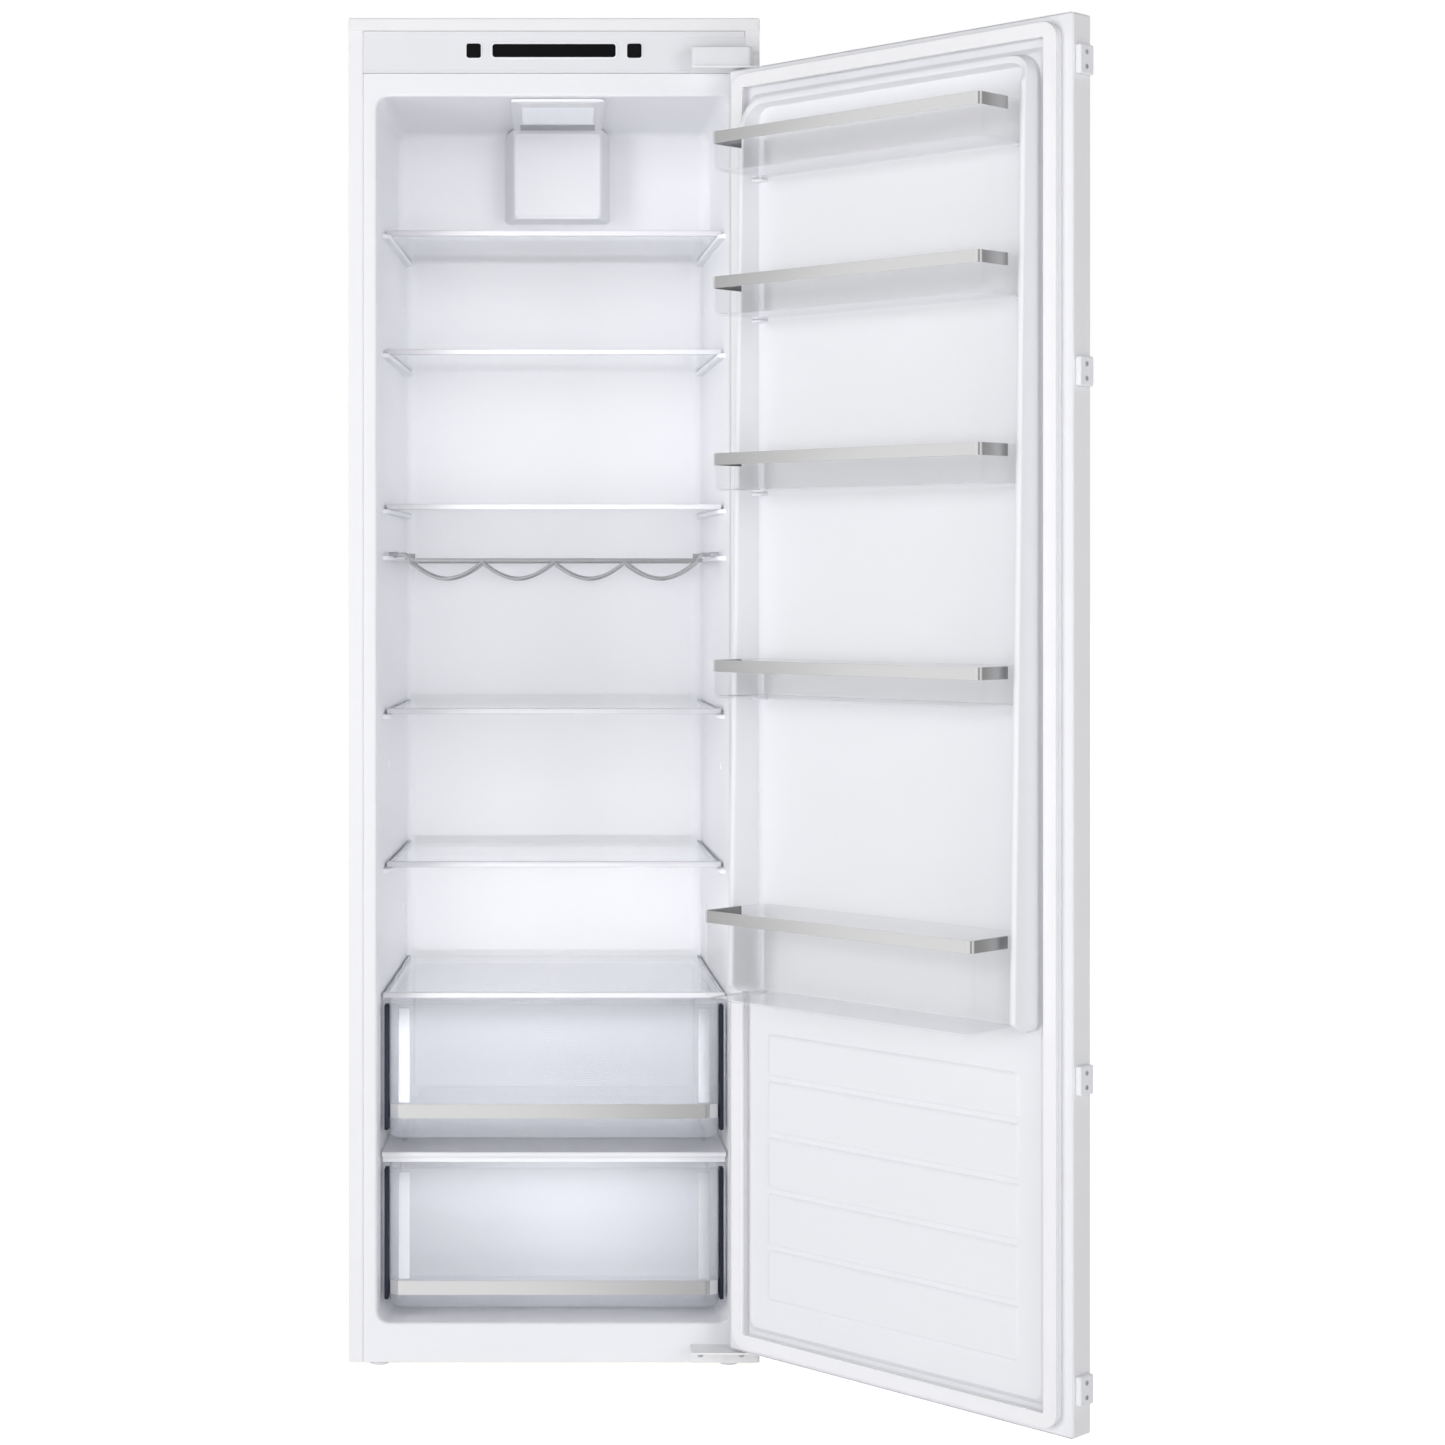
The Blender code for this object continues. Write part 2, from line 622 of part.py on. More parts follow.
def build_liner(front):
    """The inner liner: a deep tub with a front flange, ribs and two air slots."""
    outer = rounded_cavity("inner_liner", LINER_WALL, 0)
    liner = add_piece("inner_liner", outer, front, "plastic")
    plate = block("flange", (-OPENING_HALF, OPENING_HALF), (0, LINER_FLANGE),
                  (CASING_LIFT, FASCIA_BOTTOM - GAP))
    unite(liner, plate)
    cut(liner, rounded_cavity("hollow", 0, -OVERRUN))
    tops = [shelf_bottom(share) - GAP for share in SHELF_HEIGHT_SHARES]
    tops += [RACK_RIB_TOP, COVER_BOTTOM - GAP, DIVIDER_BOTTOM - GAP]
    unite(liner, *[rib_pair(f"rib_{number}", top) for number, top in enumerate(tops, 1)])
    middle = duct_centre()
    slots = []
    for s in (-1, 1):
        near, far = sorted((DUCT_OFFSET + s * AIR_SLOT_NEAR, DUCT_OFFSET + s * AIR_SLOT_FAR))
        slots.append(block("slot", (near, far), (HOUSING_DEPTH - OVERRUN, HOUSING_DEPTH + OVERRUN),
                           (middle - AIR_SLOT_HALF_HEIGHT, middle + AIR_SLOT_HALF_HEIGHT)))
    cut(liner, several("air_slots", slots))


def evaporator_pocket():
    """The space in the foam behind the upper rear wall, as values on each axis."""
    half = EVAPORATOR_WIDTH / 2 + EVAPORATOR_CLEARANCE
    back = HOUSING_DEPTH + LINER_WALL + EVAPORATOR_DEPTH + EVAPORATOR_CLEARANCE
    return (-half, half), (HOUSING_DEPTH, back), (EVAPORATOR_BOTTOM, EVAPORATOR_TOP)


def build_foam(front):
    """The insulation between casing and liner, with the machine compartment cut out of its back."""
    body = block("cabinet_foam", (-SHELL_HALF, SHELL_HALF), (LINER_FLANGE + GAP, BACK_PLANE),
                 (CASING_LIFT + GAP, TOP_PANEL_TOP - SHEET - GAP))
    foam = add_piece("cabinet_foam", body, front, "foam")
    over = HALF_WIDTH + OVERRUN
    cut(foam, between_walls("cavity", cavity_outline(LINER_WALL + GAP, -OVERRUN), -LINER_WALL - GAP))
    cut(foam, block("machine_niche", (-over, over), (NICHE_FRONT, CABINET_DEPTH + OVERRUN),
                    (-OVERRUN, NICHE_TOP)))
    cut(foam, block("fascia_niche", (-over, over), (-OVERRUN, FASCIA_DEPTH + GAP),
                    (FASCIA_BOTTOM - GAP, CABINET_HEIGHT + OVERRUN)))
    cut(foam, block("evaporator_pocket", *evaporator_pocket()))
    wing = SHELL_HALF - BASE_SHEET - GAP
    rebates = [block("rebate", sorted((s * wing, s * over)), (BASE_FRONT - GAP, CABINET_DEPTH + OVERRUN),
                     (-OVERRUN, BASE_UPSTAND + GAP)) for s in (-1, 1)]
    cut(foam, several("base_rebates", rebates))
    holes = [pin("stem", FOOT_STEM + FOOT_STEM_CLEARANCE, (s * FOOT_X, FOOT_SETBACK),
                 (-OVERRUN, CASING_LIFT + FOOT_STEM_LENGTH + GAP)) for s in (-1, 1)]
    cut(foam, several("stem_holes", holes))


def build_control_panel(front):
    """The fascia with its window, two push keys and the board behind them."""
    shell = block("control_fascia", (-OPENING_HALF, OPENING_HALF), (0, FASCIA_DEPTH),
                  (FASCIA_BOTTOM, FASCIA_TOP))
    fascia = add_piece("control_fascia", shell, front, "plastic")
    cut(fascia, block("inside", (FASCIA_WALL - OPENING_HALF, OPENING_HALF - FASCIA_WALL),
                      (FASCIA_WALL, FASCIA_DEPTH + OVERRUN),
                      (FASCIA_BOTTOM + FASCIA_WALL, FASCIA_TOP - FASCIA_WALL)))
    half, rise = DISPLAY_WIDTH / 2, DISPLAY_HEIGHT / 2
    through = (-OVERRUN, FASCIA_WALL + GAP)
    holes = [block("window_hole", (-half, half), through, (DISPLAY_CENTRE - rise, DISPLAY_CENTRE + rise))]
    key_half = KEY_SIZE / 2
    centres = (-KEY_SPACING / 2, KEY_SPACING / 2)
    for x in centres:
        holes.append(block("key_hole", (x - key_half, x + key_half), through,
                           (DISPLAY_CENTRE - key_half, DISPLAY_CENTRE + key_half)))
    cut(fascia, several("front_holes", holes))
    posts = []
    for s in (-1, 1):
        x = s * BOARD_POST_REACH_SHARE * BOARD_WIDTH
        z = DISPLAY_CENTRE - BOARD_HEIGHT / 2
        posts.append(block("post", (x - BOARD_POST / 2, x + BOARD_POST / 2),
                           (FASCIA_WALL - GAP, BOARD_SETBACK - GAP), (z, z + BOARD_POST / 2)))
    unite(fascia, several("board_posts", posts))

    window = block("display_window", (GAP - half, half - GAP), (GAP, GAP + DISPLAY_SHEET),
                   (DISPLAY_CENTRE - rise + GAP, DISPLAY_CENTRE + rise - GAP))
    add_piece("display_window", window, front, "display")
    board = block("control_board", (-BOARD_WIDTH / 2, BOARD_WIDTH / 2),
                  (BOARD_SETBACK, BOARD_SETBACK + BOARD_SHEET),
                  (DISPLAY_CENTRE - BOARD_HEIGHT / 2, DISPLAY_CENTRE + BOARD_HEIGHT / 2))
    add_piece("control_board", board, front, "circuit")
    cap = key_half - GAP
    for name, x in zip(("key_left", "key_right"), centres):
        key = block(name, (x - cap, x + cap), (-KEY_PROUD, BOARD_SETBACK - KEY_TRAVEL - GAP),
                    (DISPLAY_CENTRE - cap, DISPLAY_CENTRE + cap))
        add_piece(name, key, front, "key")


def build_hinges(front):
    """Upper and lower hinge brackets with their pins, and the cover over the upper one."""
    left, right = HALF_WIDTH - HINGE_END_INSET - HINGE_SPAN, HALF_WIDTH - HINGE_END_INSET
    nose = PIVOT_Y - HINGE_NOSE
    leg_front = -GAP - HINGE_LEG
    centre = (PIVOT_X, PIVOT_Y)
    clearance = DOOR_TOP_CLEARANCE - GAP
    plate_low = DOOR_TOP + clearance
    plate_high = plate_low + HINGE_PLATE
    leg_high = plate_high + HINGE_LEG_HEIGHT
    outline = [(nose, plate_low), (-GAP, plate_low), (-GAP, leg_high), (leg_front, leg_high),
               (leg_front, plate_high), (nose, plate_high)]
    plate = side_prism("upper_hinge_bracket", outline, (left, right))
    upper = add_piece("upper_hinge_bracket", plate, front, "zinc")
    unite(upper, pin("pin", HINGE_PIN, centre, (DOOR_TOP - HINGE_PIN_REACH, plate_high - GAP)))

    low = plate_high + GAP
    high = low + HINGE_COVER_HEIGHT
    wall = HINGE_COVER_WALL
    end = HALF_WIDTH - HINGE_COVER_INSET
    shell = block("upper_hinge_cover", (left, end), (-HINGE_COVER_REACH, leg_front - GAP), (low, high))
    cover = add_piece("upper_hinge_cover", shell, front, "plastic")
    cut(cover, block("inside", (left + wall, end - wall), (wall - HINGE_COVER_REACH, OVERRUN),
                     (low + wall, high - wall)))

    plate_high = DOOR_BOTTOM - clearance
    plate_low = plate_high - HINGE_PLATE
    outline = [(nose, plate_low), (leg_front, plate_low), (leg_front, CASING_LIFT), (-GAP, CASING_LIFT),
               (-GAP, plate_high), (nose, plate_high)]
    plate = side_prism("lower_hinge_bracket", outline, (left, right))
    lower = add_piece("lower_hinge_bracket", plate, front, "zinc")
    unite(lower, pin("pin", HINGE_PIN, centre, (plate_low + GAP, DOOR_BOTTOM + HINGE_PIN_REACH)))


def duct_centre():
    """The height of the fan's axis."""
    return (DUCT_BOTTOM + DUCT_TOP) / 2


def build_duct(front):
    """The air duct on the ceiling and upper rear wall, its cover, the lamp lens and the fan."""
    top, plate_low, low = CAVITY_TOP - GAP, DUCT_TOP, DUCT_BOTTOM
    base = HOUSING_DEPTH - GAP
    rings = []
    for half, y in ((DUCT_FRONT_HALF, DUCT_FRONT), (DUCT_BASE_HALF, base)):
        left, right = DUCT_OFFSET - half, DUCT_OFFSET + half
        rings.append([(left, y, low), (right, y, low), (right, y, top), (left, y, top)])
    housing = add_piece("duct_housing", skinned("duct_housing", rings), front, "plastic")
    unite(housing, block("ceiling_plate", (DUCT_OFFSET - DUCT_FRONT_HALF, DUCT_OFFSET + DUCT_FRONT_HALF),
                         (DUCT_CEILING_FRONT, DUCT_FRONT + DUCT_WALL), (plate_low, top)))
    room = DUCT_FRONT_HALF - DUCT_WALL
    cut(housing, block("inside", (DUCT_OFFSET - room, DUCT_OFFSET + room),
                       (DUCT_FRONT + DUCT_WALL, HOUSING_DEPTH + OVERRUN), (low + DUCT_WALL, top - DUCT_WALL)))
    middle = duct_centre()
    mouth = circle(DUCT_MOUTH_RADIUS, LARGE_ROUND_SIDES, (DUCT_OFFSET, middle))
    cut(housing, facing_prism("mouth", mouth, (DUCT_FRONT - OVERRUN, DUCT_FRONT + DUCT_WALL + GAP)))
    lamp = (LAMP_FRONT, LAMP_BACK)
    cut(housing, block("lamp_hole", (DUCT_OFFSET - LAMP_HALF - GAP, DUCT_OFFSET + LAMP_HALF + GAP),
                       (lamp[0] - GAP, lamp[1] + GAP), (plate_low - OVERRUN, top + OVERRUN)))

    lens = block("lamp_lens", (DUCT_OFFSET - LAMP_HALF, DUCT_OFFSET + LAMP_HALF), lamp,
                 (plate_low - LAMP_PROUD, top))
    add_piece("lamp_lens", lens, front, "lens")

    cover_top = plate_low - DUCT_COVER_TOP_SLOT
    half_height = (cover_top - low) / 2
    outline = rounded(DUCT_COVER_HALF, half_height, DUCT_COVER_CORNER, CORNER_STEPS,
                      (DUCT_OFFSET, cover_top - half_height))
    cover = facing_prism("duct_cover", outline, (DUCT_FRONT - GAP - DUCT_COVER_SHEET, DUCT_FRONT - GAP))
    add_piece("duct_cover", cover, front, "plastic")

    fan_front = DUCT_FRONT + FAN_SETBACK
    fan_back = fan_front + FAN_THICKNESS
    outline = []
    pitch = 2 * math.pi / FAN_BLADES
    for blade in range(FAN_BLADES):
        start, end = blade * pitch, (blade + FAN_BLADE_SHARE) * pitch
        middle_angle = (start + end) / 2
        for radius, angle in ((FAN_HUB, start), (FAN_RADIUS, start), (FAN_RADIUS, middle_angle),
                              (FAN_RADIUS, end), (FAN_HUB, end)):
            outline.append((DUCT_OFFSET + radius * math.cos(angle), middle + radius * math.sin(angle)))
    rotor = facing_prism("fan_rotor", outline, (fan_front, fan_back))
    add_piece("fan_rotor", rotor, front, "dark_plastic")
    can = circle(MOTOR_RADIUS, LARGE_ROUND_SIDES, (DUCT_OFFSET, middle))
    motor = facing_prism("fan_motor", can, (fan_back + GAP, HOUSING_DEPTH - GAP))
    smooth(add_piece("fan_motor", motor, front, "dark_plastic"))


def build_evaporator(front):
    """A finned block in the foam's pocket behind the upper rear wall."""
    half = EVAPORATOR_WIDTH / 2
    back = HOUSING_DEPTH + LINER_WALL + EVAPORATOR_DEPTH
    tip = HOUSING_DEPTH + LINER_WALL + GAP
    root = back - EVAPORATOR_SPINE
    pitch = EVAPORATOR_WIDTH / EVAPORATOR_FINS
    outline = [(half, back), (-half, back)]
    for fin in range(EVAPORATOR_FINS):
        start = -half + fin * pitch
        end = start + EVAPORATOR_FIN_SHARE * pitch
        outline += [(start, tip), (end, tip), (end, root)]
        if fin < EVAPORATOR_FINS - 1:
            outline.append((start + pitch, root))
    outline.append((half, root))
    levels = (EVAPORATOR_BOTTOM + GAP, EVAPORATOR_TOP - EVAPORATOR_CLEARANCE)
    mesh = flat_prism("evaporator", outline, levels)
    add_piece("evaporator", mesh, front, "aluminium")


def build_machine(front):
    """Compressor, evaporating tray, condenser coil and the mains inlet gland."""
    x, y = COMPRESSOR_X, CASING_DEPTH - COMPRESSOR_BACK_CLEARANCE - COMPRESSOR_RADIUS
    low = COMPRESSOR_BOTTOM
    profile = [(COMPRESSOR_RADIUS * r, low + COMPRESSOR_HEIGHT * z)
               for r, z in COMPRESSOR_BELLY_SHARES + COMPRESSOR_DOME_SHARES]
    can = turned("compressor", profile, (x, y), LARGE_ROUND_SIDES)
    body = add_piece("compressor", can, front, "black_steel")
    smooth(body)
    half, deep = COMPRESSOR_PLATE_WIDTH / 2, COMPRESSOR_PLATE_DEPTH / 2
    unite(body, block("plate", (x - half, x + half), (y - deep, y + deep),
                      (low - GAP, low + COMPRESSOR_PLATE)))
    feet = []
    for sx in (-1, 1):
        for sy in (-1, 1):
            place = (x + sx * (half - COMPRESSOR_FOOT_RADIUS), y + sy * (deep - COMPRESSOR_FOOT_RADIUS))
            levels = (MACHINE_FLOOR, low + COMPRESSOR_PLATE / 2)
            feet.append(pin("foot", COMPRESSOR_FOOT_RADIUS, place, levels))
    unite(body, several("feet", feet))

    tray_low, tray_high = TRAY_BOTTOM, TRAY_BOTTOM + TRAY_HEIGHT
    half, deep = TRAY_WIDTH / 2, TRAY_DEPTH / 2
    dish = block("evaporating_tray", (x - half, x + half), (y - deep, y + deep), (tray_low, tray_high))
    tray = add_piece("evaporating_tray", dish, front, "dark_plastic")
    half, deep = half - TRAY_WALL, deep - TRAY_WALL
    cut(tray, block("inside", (x - half, x + half), (y - deep, y + deep),
                    (tray_low + TRAY_WALL, tray_high + OVERRUN)))

    build_coil(front, (x, y))
    ring = circle(GLAND_RADIUS, SMALL_ROUND_SIDES, (GLAND_X, GLAND_HEIGHT))
    ys = (CASING_DEPTH + GAP, CASING_DEPTH + GLAND_LENGTH)
    gland = add_piece("mains_gland", facing_prism("mains_gland", ring, ys), front, "dark_plastic")
    bore = circle(GLAND_BORE, SMALL_ROUND_SIDES, (GLAND_X, GLAND_HEIGHT))
    cut(gland, facing_prism("bore", bore, (CASING_DEPTH - OVERRUN, CASING_DEPTH + OVERRUN)))


def build_coil(front, compressor):
    """The condenser: one tube in level passes down the back, which ends at the compressor."""
    radius = COIL_TUBE / 2
    y = CASING_DEPTH + GAP + radius
    pitch = (COIL_TOP - COIL_BOTTOM) / (COIL_PASSES - 1)
    turn = pitch / 2
    points = []
    for number in range(COIL_PASSES):
        z = COIL_TOP - number * pitch
        side = 1 if number % 2 == 0 else -1
        points.append((-side * (COIL_HALF_WIDTH - turn), y, z))
        points.append((side * (COIL_HALF_WIDTH - turn), y, z))
        if number < COIL_PASSES - 1:
            for i in range(1, COIL_TURN_POINTS):
                angle = math.pi * i / COIL_TURN_POINTS
                points.append((side * (COIL_HALF_WIDTH - turn + turn * math.sin(angle)), y,
                               z - turn + turn * math.cos(angle)))
    cx, cy = compressor
    low = COMPRESSOR_BOTTOM + COIL_DROP_SHARE * COMPRESSOR_HEIGHT
    ending = points.pop()
    down_x = ending[0] - COIL_BEND
    points += bend(ending, (down_x, y, COIL_BOTTOM), (down_x, y, COIL_BOTTOM - COIL_BEND))
    points += bend((down_x, y, low + COIL_BEND), (down_x, y, low), (down_x, y - COIL_BEND, low))
    points += bend((down_x, cy + COIL_BEND, low), (down_x, cy, low), (down_x + COIL_BEND, cy, low))
    points.append((cx - COMPRESSOR_RADIUS - GAP, cy, low))
    add_piece("condenser_coil", wire_curve("condenser_coil", points, radius), front, "black_steel")


def bend(start, corner, end):
    """Points of a round bend from start to end about a corner, as a quadratic curve."""
    points = []
    for i in range(COIL_BEND_STEPS + 1):
        t = i / COIL_BEND_STEPS
        weights = ((1 - t) ** 2, 2 * t * (1 - t), t ** 2)
        points.append(tuple(sum(w * p[axis] for w, p in zip(weights, (start, corner, end)))
                            for axis in range(3)))
    return points


def build_feet(front):
    """Two levelling feet under the front corners, each a disc on a screwed stem."""
    disc = CASING_LIFT - GAP
    profile = [(FOOT_RADIUS, 0), (FOOT_RADIUS, disc), (FOOT_STEM, disc),
               (FOOT_STEM, disc + FOOT_STEM_LENGTH)]
    for name, s in (("foot_left", -1), ("foot_right", 1)):
        mesh = turned(name, profile, (s * FOOT_X, FOOT_SETBACK), SMALL_ROUND_SIDES)
        smooth(add_piece(name, mesh, front, "dark_plastic"))


def build_shelves(front):
    """Five glass shelves with a raised lip at the back."""
    for number, share in enumerate(SHELF_HEIGHT_SHARES, 1):
        low = shelf_bottom(share)
        top = low + SHELF_GLASS
        outline = [(SHELF_FRONT, low), (SHELF_BACK, low), (SHELF_BACK, top + SHELF_LIP),
                   (SHELF_BACK - SHELF_LIP_WALL, top + SHELF_LIP),
                   (SHELF_BACK - SHELF_LIP_WALL, top), (SHELF_FRONT, top)]
        name = f"shelf_{number}"
        add_piece(name, between_walls(name, outline, SHELF_SIDE_CLEARANCE), front, "glass")

    low, top = COVER_BOTTOM, COVER_BOTTOM + COVER_GLASS
    outline = [(COVER_FRONT, low), (SHELF_BACK, low), (SHELF_BACK, top + SHELF_LIP),
               (SHELF_BACK - SHELF_LIP_WALL, top + SHELF_LIP),
               (SHELF_BACK - SHELF_LIP_WALL, top), (COVER_FRONT, top)]
    add_piece("crisper_cover", between_walls("crisper_cover", outline, SHELF_SIDE_CLEARANCE), front, "glass")

    under = DIVIDER_TOP - DIVIDER_PLATE
    inner = DRAWER_FRONT + DIVIDER_LIP_DEPTH
    outline = [(DRAWER_FRONT, DIVIDER_BOTTOM), (inner, DIVIDER_BOTTOM), (inner, under),
               (SHELF_BACK, under), (SHELF_BACK, DIVIDER_TOP), (DRAWER_FRONT, DIVIDER_TOP)]
    add_piece("drawer_divider", between_walls("drawer_divider", outline, SHELF_SIDE_CLEARANCE),
              front, "plastic")


def wire_curve(name, points, radius):
    """A curve along these points that is drawn as a round wire with closed ends."""
    curve = bpy.data.curves.new(name, "CURVE")
    curve.dimensions = "3D"
    curve.bevel_depth = radius
    curve.bevel_resolution = WIRE_BEVEL_STEPS
    curve.use_fill_caps = True
    spline = curve.splines.new("POLY")
    spline.points.add(len(points) - 1)
    for place, point in zip(spline.points, points):
        place.co = (*point, 1.0)
    return curve


def rack_wire(name, points):
    """One of the rack's wires as a mesh, with its end caps welded on."""
    holder = bpy.data.objects.new(name, wire_curve(name, points, RACK_WIRE / 2))
    bpy.context.collection.objects.link(holder)
    mesh = bpy.data.meshes.new_from_object(holder)
    bpy.data.objects.remove(holder)
    shape = bmesh.new()
    shape.from_mesh(mesh)
    bmesh.ops.remove_doubles(shape, verts=shape.verts, dist=GAP * WELD_SHARE)
    shape.to_mesh(mesh)
    shape.free()
    mesh.name = name
    return mesh


def rack_wave(y):
    """Points of a wave wire at this depth: a hook at each end and round troughs for bottles."""
    radius = RACK_WIRE / 2
    hook = RACK_RIB_TOP + GAP + radius
    crest = hook - RACK_HOOK_DROP
    half = RACK_HALF
    outer = wall_x(y) - RACK_HOOK_CLEARANCE - RIB_REACH / 2 + radius
    points = [(-outer, y, hook), (-half - 2 * radius, y, hook)]
    count = RACK_WAVES * RACK_WAVE_STEPS
    for i in range(count + 1):
        x = -half + 2 * half * i / count
        fall = (1 - math.cos(2 * math.pi * RACK_WAVES * i / count)) / 2
        points.append((x, y, crest - RACK_TROUGH * fall))
    points += [(half + 2 * radius, y, hook), (outer, y, hook)]
    return points


def build_rack(front):
    """The wire wine rack: two wave wires, two level cross wires and two side rails."""
    back = CAVITY_DEPTH - RACK_BACK_CLEARANCE
    level = RACK_RIB_TOP + GAP + RACK_WIRE / 2 - RACK_HOOK_DROP + RACK_WIRE * RACK_OVERLAP_SHARES[1]
    rack = add_piece("wine_rack", rack_wire("wine_rack", rack_wave(RACK_FRONT)), front, "chrome")
    reach = RACK_RAIL_HALF + RACK_WIRE
    wires = [rack_wire("back_wave", rack_wave(back))]
    for s in (-1, 1):
        x = s * RACK_RAIL_HALF
        ends = [(x, RACK_FRONT - RACK_WIRE, level), (x, back + RACK_WIRE, level)]
        wires.append(rack_wire("side_rail", ends))
    for y in (RACK_FRONT, back):
        beside = y + RACK_WIRE * RACK_OVERLAP_SHARES[0]
        wires.append(rack_wire("cross_wire", [(-reach, beside, level), (reach, beside, level)]))
    unite(rack, *wires)
    smooth(rack)


def build_drawer(front, name, low, high, back, strip_rise):
    """A clear drawer with a toe at the bottom of its front, and its silver strip."""
    outline = [(DRAWER_FRONT, high), (DRAWER_FRONT, low + DRAWER_TOE_HEIGHT),
               (DRAWER_FRONT + DRAWER_TOE_DEPTH, low), (back, low), (back, high)]
    body = add_piece(name, between_walls(name, outline, DRAWER_SIDE_CLEARANCE), front, "clear")
    w = DRAWER_WALL
    hollow = [(DRAWER_FRONT + w, high + OVERRUN), (DRAWER_FRONT + w, low + DRAWER_TOE_HEIGHT + w),
              (DRAWER_FRONT + DRAWER_TOE_DEPTH + w, low + w), (back - w, low + w), (back - w, high + OVERRUN)]
    cut(body, between_walls("inside", hollow, DRAWER_SIDE_CLEARANCE + w))
    half = wall_x(DRAWER_FRONT) - DRAWER_SIDE_CLEARANCE - DRAWER_STRIP_INSET
    strip_low = low + strip_rise
    strip_back = DRAWER_FRONT - GAP
    strip = block(name + "_strip", (-half, half), (strip_back - DRAWER_STRIP_SHEET, strip_back),
                  (strip_low, strip_low + DRAWER_STRIP_HEIGHT))
    add_piece(name + "_strip", strip, front, "silver")


def build_drawers(front):
    """The upper and the lower drawer."""
    build_drawer(front, "upper_drawer", DIVIDER_TOP + DRAWER_LIFT, COVER_BOTTOM - DRAWER_TOP_CLEARANCE,
                 CAVITY_DEPTH - DRAWER_BACK_CLEARANCE, UPPER_STRIP_RISE)
    build_drawer(front, "lower_drawer", CAVITY_FLOOR + DRAWER_LIFT, DIVIDER_BOTTOM - DRAWER_TOP_CLEARANCE,
                 STEP_DEPTH - DRAWER_BACK_CLEARANCE, LOWER_STRIP_RISE)


def frame_ring(name, half, low, high, width, ys):
    """A flat rectangular ring, carried back between two depths."""
    outer = [(-half, low), (half, low), (half, high), (-half, high)]
    inner = [(width - half, low + width), (half - width, low + width),
             (half - width, high - width), (width - half, high - width)]
    near, far = ys
    points = [(x, y, z) for y in (near, far) for x, z in outer + inner]
    faces = []
    for i in range(4):
        j = (i + 1) % 4
        faces.append((i, j, 4 + j, 4 + i))
        faces.append((8 + i, 12 + i, 12 + j, 8 + j))
        faces.append((i, 8 + i, 8 + j, j))
        faces.append((4 + i, 4 + j, 12 + j, 12 + i))
    return closed_mesh(name, points, faces)


def ridge(name, low, high):
    """The door liner's arch: two side ridges and a top one, thinner at their tips."""
    rings = []
    for y, draft in ((DOOR_INNER + PLATEAU_HEIGHT / 2, 0), (DOOR_INNER + RIDGE_HEIGHT, RIDGE_DRAFT)):
        half = HALF_WIDTH - RIDGE_SIDE_INSET - draft
        outer = arch(half, low, high - draft, RIDGE_CORNER, RIDGE_CORNER_STEPS)
        inner = arch(RIDGE_INNER_HALF, low, high - RIDGE_THICKNESS, RIDGE_CORNER - RIDGE_DRAFT,
                     RIDGE_CORNER_STEPS)
        rings.append([(x, y, z) for x, z in outer + inner[::-1]])
    return skinned(name, rings)


def bin_bottoms():
    """The underside of each door bin."""
    return [DOOR_BOTTOM + share * DOOR_HEIGHT for share in BIN_BOTTOM_SHARES]


def build_door(door):
    """The door's outer skin, foam, liner and gasket."""
    shell = block("door_skin", (-HALF_WIDTH, HALF_WIDTH), (DOOR_OUTER, DOOR_INNER), (DOOR_BOTTOM, DOOR_TOP))
    skin = add_piece("door_skin", shell, door, "painted")
    inner = HALF_WIDTH - DOOR_SHEET
    cut(skin, block("inside", (-inner, inner), (DOOR_OUTER + DOOR_SHEET, DOOR_INNER + OVERRUN),
                    (DOOR_BOTTOM + DOOR_SHEET, DOOR_TOP - DOOR_SHEET)))
    cut(skin, bush_holes())

    core = inner - GAP
    core_ends = (DOOR_BOTTOM + DOOR_SHEET + GAP, DOOR_TOP - DOOR_SHEET - GAP)
    plate_back = DOOR_INNER - DOOR_PLATE
    filling = block("door_foam", (-core, core), (DOOR_OUTER + DOOR_SHEET + GAP, plate_back - GAP), core_ends)
    cut(add_piece("door_foam", filling, door, "foam"), bush_holes())

    build_door_liner(door, block("door_liner", (-core, core), (plate_back, DOOR_INNER), core_ends))

    half = HALF_WIDTH - GASKET_SIDE_INSET
    ring = frame_ring("door_gasket", half, DOOR_BOTTOM + GASKET_END_INSET, DOOR_TOP - GASKET_END_INSET,
                      GASKET_WIDTH, (DOOR_INNER + GAP, -GAP))
    add_piece("door_gasket", ring, door, "rubber")

    bore = HINGE_PIN + HINGE_PIN_CLEARANCE
    for name, zs in (("hinge_bush_lower", (DOOR_BOTTOM + GAP, DOOR_BOTTOM + BUSH_LENGTH)),
                     ("hinge_bush_upper", (DOOR_TOP - BUSH_LENGTH, DOOR_TOP - GAP))):
        bush = add_piece(name, pin(name, bore + BUSH_WALL, (PIVOT_X, PIVOT_Y), zs), door, "dark_plastic")
        cut(bush, pin("bore", bore, (PIVOT_X, PIVOT_Y), (zs[0] - OVERRUN, zs[1] + OVERRUN)))


def bush_holes():
    """The holes for the hinge bushes in the door's lower and upper end."""
    radius = HINGE_PIN + HINGE_PIN_CLEARANCE + BUSH_WALL + GAP
    depth = HINGE_PIN_REACH + OVERRUN
    ends = ((DOOR_BOTTOM - OVERRUN, DOOR_BOTTOM + depth), (DOOR_TOP - depth, DOOR_TOP + OVERRUN))
    return several("bush_holes", [pin("hole", radius, (PIVOT_X, PIVOT_Y), zs) for zs in ends])


